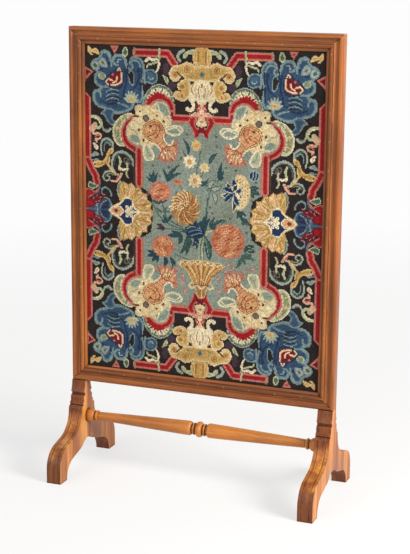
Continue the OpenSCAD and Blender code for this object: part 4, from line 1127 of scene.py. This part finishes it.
def wool_colours(mesh):
    """Each stitch has its wool's colour, a little lighter or darker than its neighbours. Dye lots drift."""
    nx, nz = STITCHES_X, STITCHES_Z
    palette = np.array([srgb(*WOOL[name])[:3] for name in WOOL_NAMES])
    rng = np.random.RandomState(DYE_SEED + 1)
    worked = palette[whole_chart()]
    coarse = rng.uniform(-1, 1, (nz // DYE_LOT + 3, nx // DYE_LOT + 3))
    rows, cols = np.arange(nz) / DYE_LOT, np.arange(nx) / DYE_LOT
    r, c = rows.astype(int), cols.astype(int)
    fr, fc = (rows - r)[:, None], (cols - c)[None, :]
    drift = ((coarse[r][:, c] * (1 - fc) + coarse[r][:, c + 1] * fc) * (1 - fr)
             + (coarse[r + 1][:, c] * (1 - fc) + coarse[r + 1][:, c + 1] * fc) * fr)
    row_tone = rng.uniform(-1, 1, (nz, 1))
    tone = 1 + STITCH_TONE * rng.uniform(-1, 1, (nz, nx)) + LOT_TONE * drift + ROW_TONE * row_tone
    tint = 1 + STITCH_TINT * rng.uniform(-1, 1, (nz, nx, 3))
    worked = worked * tone[..., None] * tint
    faces = np.vstack([worked.reshape(-1, 3), np.tile(BARE_CANVAS, (len(mesh.polygons) - nx * nz, 1))])
    loops = np.zeros(len(mesh.polygons), int)
    mesh.polygons.foreach_get("loop_total", loops)
    corners = np.repeat(faces, loops, axis=0)
    layer = mesh.color_attributes.new("wool", "FLOAT_COLOR", "CORNER")
    layer.data.foreach_set("color", np.column_stack([np.clip(corners, 0, 1),
                                                     np.ones(len(corners))]).ravel())


def needlework_material():
    """Slanting stitches on the same grid as the faces, each a rounded strand of wool."""
    material, tree, shader = new_material("needlework_wool")
    wool = node(tree, "ShaderNodeAttribute", attribute_name="wool")
    cell = (STITCHES_X / (PANEL_W - 2 * CANVAS_ROUND) / MM, 1,
            STITCHES_Z / (PANEL_H - 2 * CANVAS_ROUND) / MM)
    corner = (cell[0] * PANEL_W / 2 * MM, 0, -cell[2] * (PANEL_MID_Z - PANEL_H / 2) * MM)
    split = node(tree, "ShaderNodeSeparateXYZ")
    tree.links.new(stretched(tree, cell, corner), split.inputs[0])
    across, up = (maths(tree, "FRACT", split.outputs[side]) for side in "XZ")
    off_slant = maths(tree, "ABSOLUTE", maths(tree, "SUBTRACT", across, up))
    along = maths(tree, "ABSOLUTE", maths(tree, "SUBTRACT", maths(tree, "ADD", across, up), 1.0))
    strand = maths(tree, "SUBTRACT", 1.0, maths(tree, "POWER", maths(tree, "MULTIPLY", off_slant, 1.15),
                                                2.0), clamp=True)
    ends = maths(tree, "SUBTRACT", 1.0, maths(tree, "POWER", along, 4.0), clamp=True)
    height = maths(tree, "MULTIPLY", strand, ends)
    fuzz = noise_node(tree, stretched(tree, (2600, 2600, 2600)), 1.0, 3, 0.6)
    shade = maths(tree, "ADD", maths(tree, "MULTIPLY", height, 0.42),
                  maths(tree, "ADD", 0.56, maths(tree, "MULTIPLY", fuzz, 0.16)))
    soil = noise_node(tree, stretched(tree, (9, 9, 9), (3.0, 1.0, 2.0)), 1.0, 4, 0.6)
    wash = toned(tree, soil, (0.30, (0.86, 0.83, 0.78, 1)), (0.65, grey(1)))
    tinted = mix_colour(tree, 1.0, wool.outputs["Color"], wash, "MULTIPLY")
    lit = node(tree, "ShaderNodeCombineColor")
    link_up(tree, (shade, lit.inputs[0]), (shade, lit.inputs[1]), (shade, lit.inputs[2]))
    tree.links.new(mix_colour(tree, 1.0, tinted, lit.outputs[0], "MULTIPLY"), shader.inputs["Base Color"])
    depth = maths(tree, "ADD", height, maths(tree, "MULTIPLY", fuzz, 0.3))
    relief(tree, shader, depth, 0.6, 0.0005)
    shader.inputs["Roughness"].default_value = 0.95
    shader.inputs["Specular IOR Level"].default_value = 0.08
    return material


def make_needlework():
    mesh = needlework_mesh()
    wool_colours(mesh)
    piece = add_piece("needlework_panel", mesh, "needlework", needlework_material())


# The lining at the back is pulled between its tacks
BACKING_W = 576
BACKING_H = 766
BACKING_FRONT_Y = 8.8
BACKING_T = 0.8
BACKING_CELL = 8
BACKING_TACK_IN = 7
TACK_PITCH = 75
PUCKER = 0.35
PUCKER_REACH = 14
SLACK_IN = 26
SLACK_FADE = 60
SLACK = 0.9
SLACK_LOW = 0.45


def backing_mesh():
    """A thin closed sheet, with small swells between the tacks at its edge and a slack middle."""
    nx, nz = round(BACKING_W / BACKING_CELL), round(BACKING_H / BACKING_CELL)
    x, z = np.meshgrid(np.linspace(-0.5, 0.5, nx + 1) * BACKING_W, np.linspace(-0.5, 0.5,
                                                                               nz + 1) * BACKING_H)
    from_side = BACKING_W / 2 - np.abs(x)
    from_end = BACKING_H / 2 - np.abs(z)
    wave_z = np.sin(math.pi * (z + BACKING_H / 2 - BACKING_TACK_IN) / TACK_PITCH) ** 2
    wave_x = np.sin(math.pi * (x + BACKING_W / 2 - BACKING_TACK_IN) / TACK_PITCH) ** 2
    swell = PUCKER * (wave_z * np.exp(-from_side / PUCKER_REACH) + wave_x * np.exp(-from_end / PUCKER_REACH))
    slack = np.array([[noise.noise((a * 0.011, b * 0.007, 4.2)) for a, b in zip(*row)] for row in zip(x,
                                                                                                      z)])
    inner = np.clip((np.minimum(from_side, from_end) - SLACK_IN) / SLACK_FADE, 0, 1)
    out = swell + inner * (slack - SLACK_LOW) * SLACK
    sheet = np.column_stack([x.ravel(), (BACKING_FRONT_Y + BACKING_T + out).ravel(),
                             z.ravel() + PANEL_MID_Z])
    under = sheet.copy()
    under[:, 1] -= BACKING_T
    n = len(sheet)
    start = (np.arange(nz)[:, None] * (nx + 1) + np.arange(nx)[None, :]).ravel()
    quads = np.column_stack([start, start + nx + 1, start + nx + 2, start + 1])
    ring = ([j for j in range(nx)] + [i * (nx + 1) + nx for i in range(nz)]
            + [nz * (nx + 1) + j for j in range(nx, 0, -1)] + [i * (nx + 1) for i in range(nz, 0, -1)])
    faces = quads.tolist() + (quads[:, ::-1] + n).tolist()
    faces += [[ring[k], ring[(k + 1) % len(ring)], ring[(k + 1) % len(ring)] + n,
               ring[k] + n] for k in range(len(ring))]
    mesh = bpy.data.meshes.new("lining_cloth")
    mesh.from_pydata((np.vstack([sheet, under]) * MM).tolist(), [], faces)
    mesh.shade_smooth()
    mesh.set_sharp_from_angle(angle=math.radians(50))
    return mesh


def linen_material():
    """Plain weave: threads run over and under, some thicker, with age stains and painted shade between the
    threads.
    """
    material, tree, shader = new_material("lining_linen")
    thread = 1150
    split = node(tree, "ShaderNodeSeparateXYZ")
    tree.links.new(stretched(tree, (thread, thread, thread)), split.inputs[0])
    warp = maths(tree, "ABSOLUTE", maths(tree, "SINE", maths(tree, "MULTIPLY", split.outputs["X"],
                                                             math.pi)))
    weft = maths(tree, "ABSOLUTE", maths(tree, "SINE", maths(tree, "MULTIPLY", split.outputs["Z"],
                                                             math.pi)))
    weave = maths(tree, "MULTIPLY", maths(tree, "ADD", warp, weft), 0.5)
    slub_x = noise_node(tree, stretched(tree, (700, 20, 12)), 1.0, 3, 0.6)
    slub_z = noise_node(tree, stretched(tree, (12, 20, 700)), 1.0, 3, 0.6)
    slubs = maths(tree, "MULTIPLY", maths(tree, "ADD", slub_x, slub_z), 0.5)
    cloth = toned(tree, slubs, (0.36, srgb(176, 158, 126)), (0.50, srgb(198, 182, 150)),
                  (0.64, srgb(216, 202, 172)))
    stains = toned(tree, noise_node(tree, stretched(tree, (6, 6, 6), (7.0, 2.0, 5.0)), 1.0, 5, 0.6),
                   (0.32, (0.86, 0.80, 0.70, 1)), (0.58, grey(1)))
    base = mix_colour(tree, 1.0, cloth, stains, "MULTIPLY")
    # Painted shade: the weave is darker between the threads
    dark = toned(tree, weave, (0.2, grey(0.66)), (0.7, grey(1)))
    tree.links.new(mix_colour(tree, 1.0, base, dark, "MULTIPLY"), shader.inputs["Base Color"])
    shader.inputs["Roughness"].default_value = 0.92
    shader.inputs["Specular IOR Level"].default_value = 0.2
    relief(tree, shader, maths(tree, "ADD", weave, slubs), 0.5, 0.0003)
    return material


def make_lining():
    piece = add_piece("lining", backing_mesh(), "backing_cloth", linen_material())


# Metal and bare wood
def aged_metal(name, clean, stain, rough, metallic=1.0):
    material, tree, shader = new_material(name)
    spots = noise_node(tree, stretched(tree, (420, 420, 420)), 1.0, 5, 0.65)
    cover = toned(tree, spots, (0.42, clean), (0.62, stain))
    base = mix_colour(tree, recess_mask(tree, 0.002), cover, stain)
    tree.links.new(base, shader.inputs["Base Color"])
    dull = toned(tree, spots, (0.40, grey(rough)), (0.64, grey(min(1.0, rough + 0.35))))
    tree.links.new(dull, shader.inputs["Roughness"])
    shader.inputs["Metallic"].default_value = metallic
    relief(tree, shader, spots, 0.3, 0.0001)
    return material


WALNUT = dict(dark=srgb(92, 45, 14), mid=srgb(136, 73, 26), light=srgb(172, 102, 42),
              worn_and_highlight=srgb(214, 156, 100), dirt_and_shade=srgb(46, 22, 12))
LEG_WALNUT = dict(dark=srgb(92, 46, 20), mid=srgb(150, 86, 38), light=srgb(204, 142, 70),
                  worn_and_highlight=srgb(206, 148, 84), dirt_and_shade=srgb(40, 20, 12))
TURNED_WALNUT = dict(dark=srgb(138, 76, 26), mid=srgb(178, 106, 42), light=srgb(204, 134, 62),
                     worn_and_highlight=srgb(226, 172, 118), dirt_and_shade=srgb(58, 26, 12))

PINE = dict(dark=srgb(150, 112, 68), mid=srgb(182, 144, 94), light=srgb(206, 172, 120),
            worn_and_highlight=srgb(222, 196, 150), dirt_and_shade=srgb(92, 64, 38))

make_camera()
make_floor()
make_world()
area_light("key", (3.3, -1.0, 1.9), (0, 0, 0.6), (1.4, 1.4), 190, (1.0, 0.96, 0.90))
area_light("fill", (-1.6, -3.4, 2.2), (0, 0, 0.65), (2.6, 2.6), 42)

for side, turn in (("left", 0.0), ("right", 3.1)):
    softened(f"{side}_stile_moulded", f"{side}_stile", wood(f"walnut_{side}_stile", "z", shift=turn,
                                                            **WALNUT), 2)
    softened(f"{side}_sight_bead", f"sight_slip_{side}",
             wood(f"walnut_{side}_slip", "z", shift=turn + 1.2, **WALNUT), 2, radius=0.0003)
    dress(f"{side}_leg", wood(f"walnut_{side}_leg", "z", shift=turn + 5.5, legs=True, **LEG_WALNUT))
    dress(f"back_bead_{side}", wood(f"walnut_{side}_bead", "z", shift=turn + 7.7, **WALNUT))
for side, turn in (("top", 9.4), ("bottom", 12.8)):
    softened(f"{side}_rail_moulded", f"{side}_rail", wood(f"walnut_{side}_rail", "x", shift=turn,
                                                          **WALNUT), 0)
    softened(f"{side}_sight_bead", f"sight_slip_{side}",
             wood(f"walnut_{side}_slip", "x", shift=turn + 1.2, **WALNUT), 0, radius=0.0003)
    dress(f"back_bead_{side}", wood(f"walnut_{side}_bead", "x", shift=turn + 2.7, **WALNUT))
dress("stretcher", wood("walnut_stretcher", "x", shift=17.3, gloss=0.30, **TURNED_WALNUT))

for node_name, axis, turn in (("strainer_left", "z", 21.1), ("strainer_right", "z", 23.4),
                              ("strainer_top", "x", 25.2),
                              ("strainer_bottom", "x", 27.9), ("strainer_crossbar", "x", 30.3)):
    dress(node_name, wood(f"pine_{node_name}", axis, shift=turn, gloss=0.62, wear_and_highlight=0.3, grime_and_shade=0.6, **PINE))
dark_pegs = wood("walnut_pegs", "x", shift=33.1, gloss=0.5, wear_and_highlight=0.2, grime_and_shade=0.9,
                 **{**LEG_WALNUT, "dark": srgb(64, 32, 18), "mid": srgb(98, 54, 30)})
for node_name in ("frame_pegs", "leg_pegs"):
    dress(node_name, dark_pegs)
iron = aged_metal("iron_dark", srgb(110, 106, 102), srgb(74, 50, 38), 0.45)
for node_name in ("strainer_nails", "needlework_tacks"):
    dress(node_name, iron)
dress("bead_pins", aged_metal("iron_pins", srgb(96, 84, 74), srgb(58, 38, 28), 0.6))
dress("slip_brads", aged_metal("putty_over_brads", srgb(206, 182, 158), srgb(164, 128, 98), 0.6, 0.0))
dress("backing_tacks", aged_metal("brass_dull", srgb(186, 148, 84), srgb(112, 82, 44), 0.34))
make_needlework()
make_lining()

bpy.context.scene.view_settings.view_transform = "Standard"
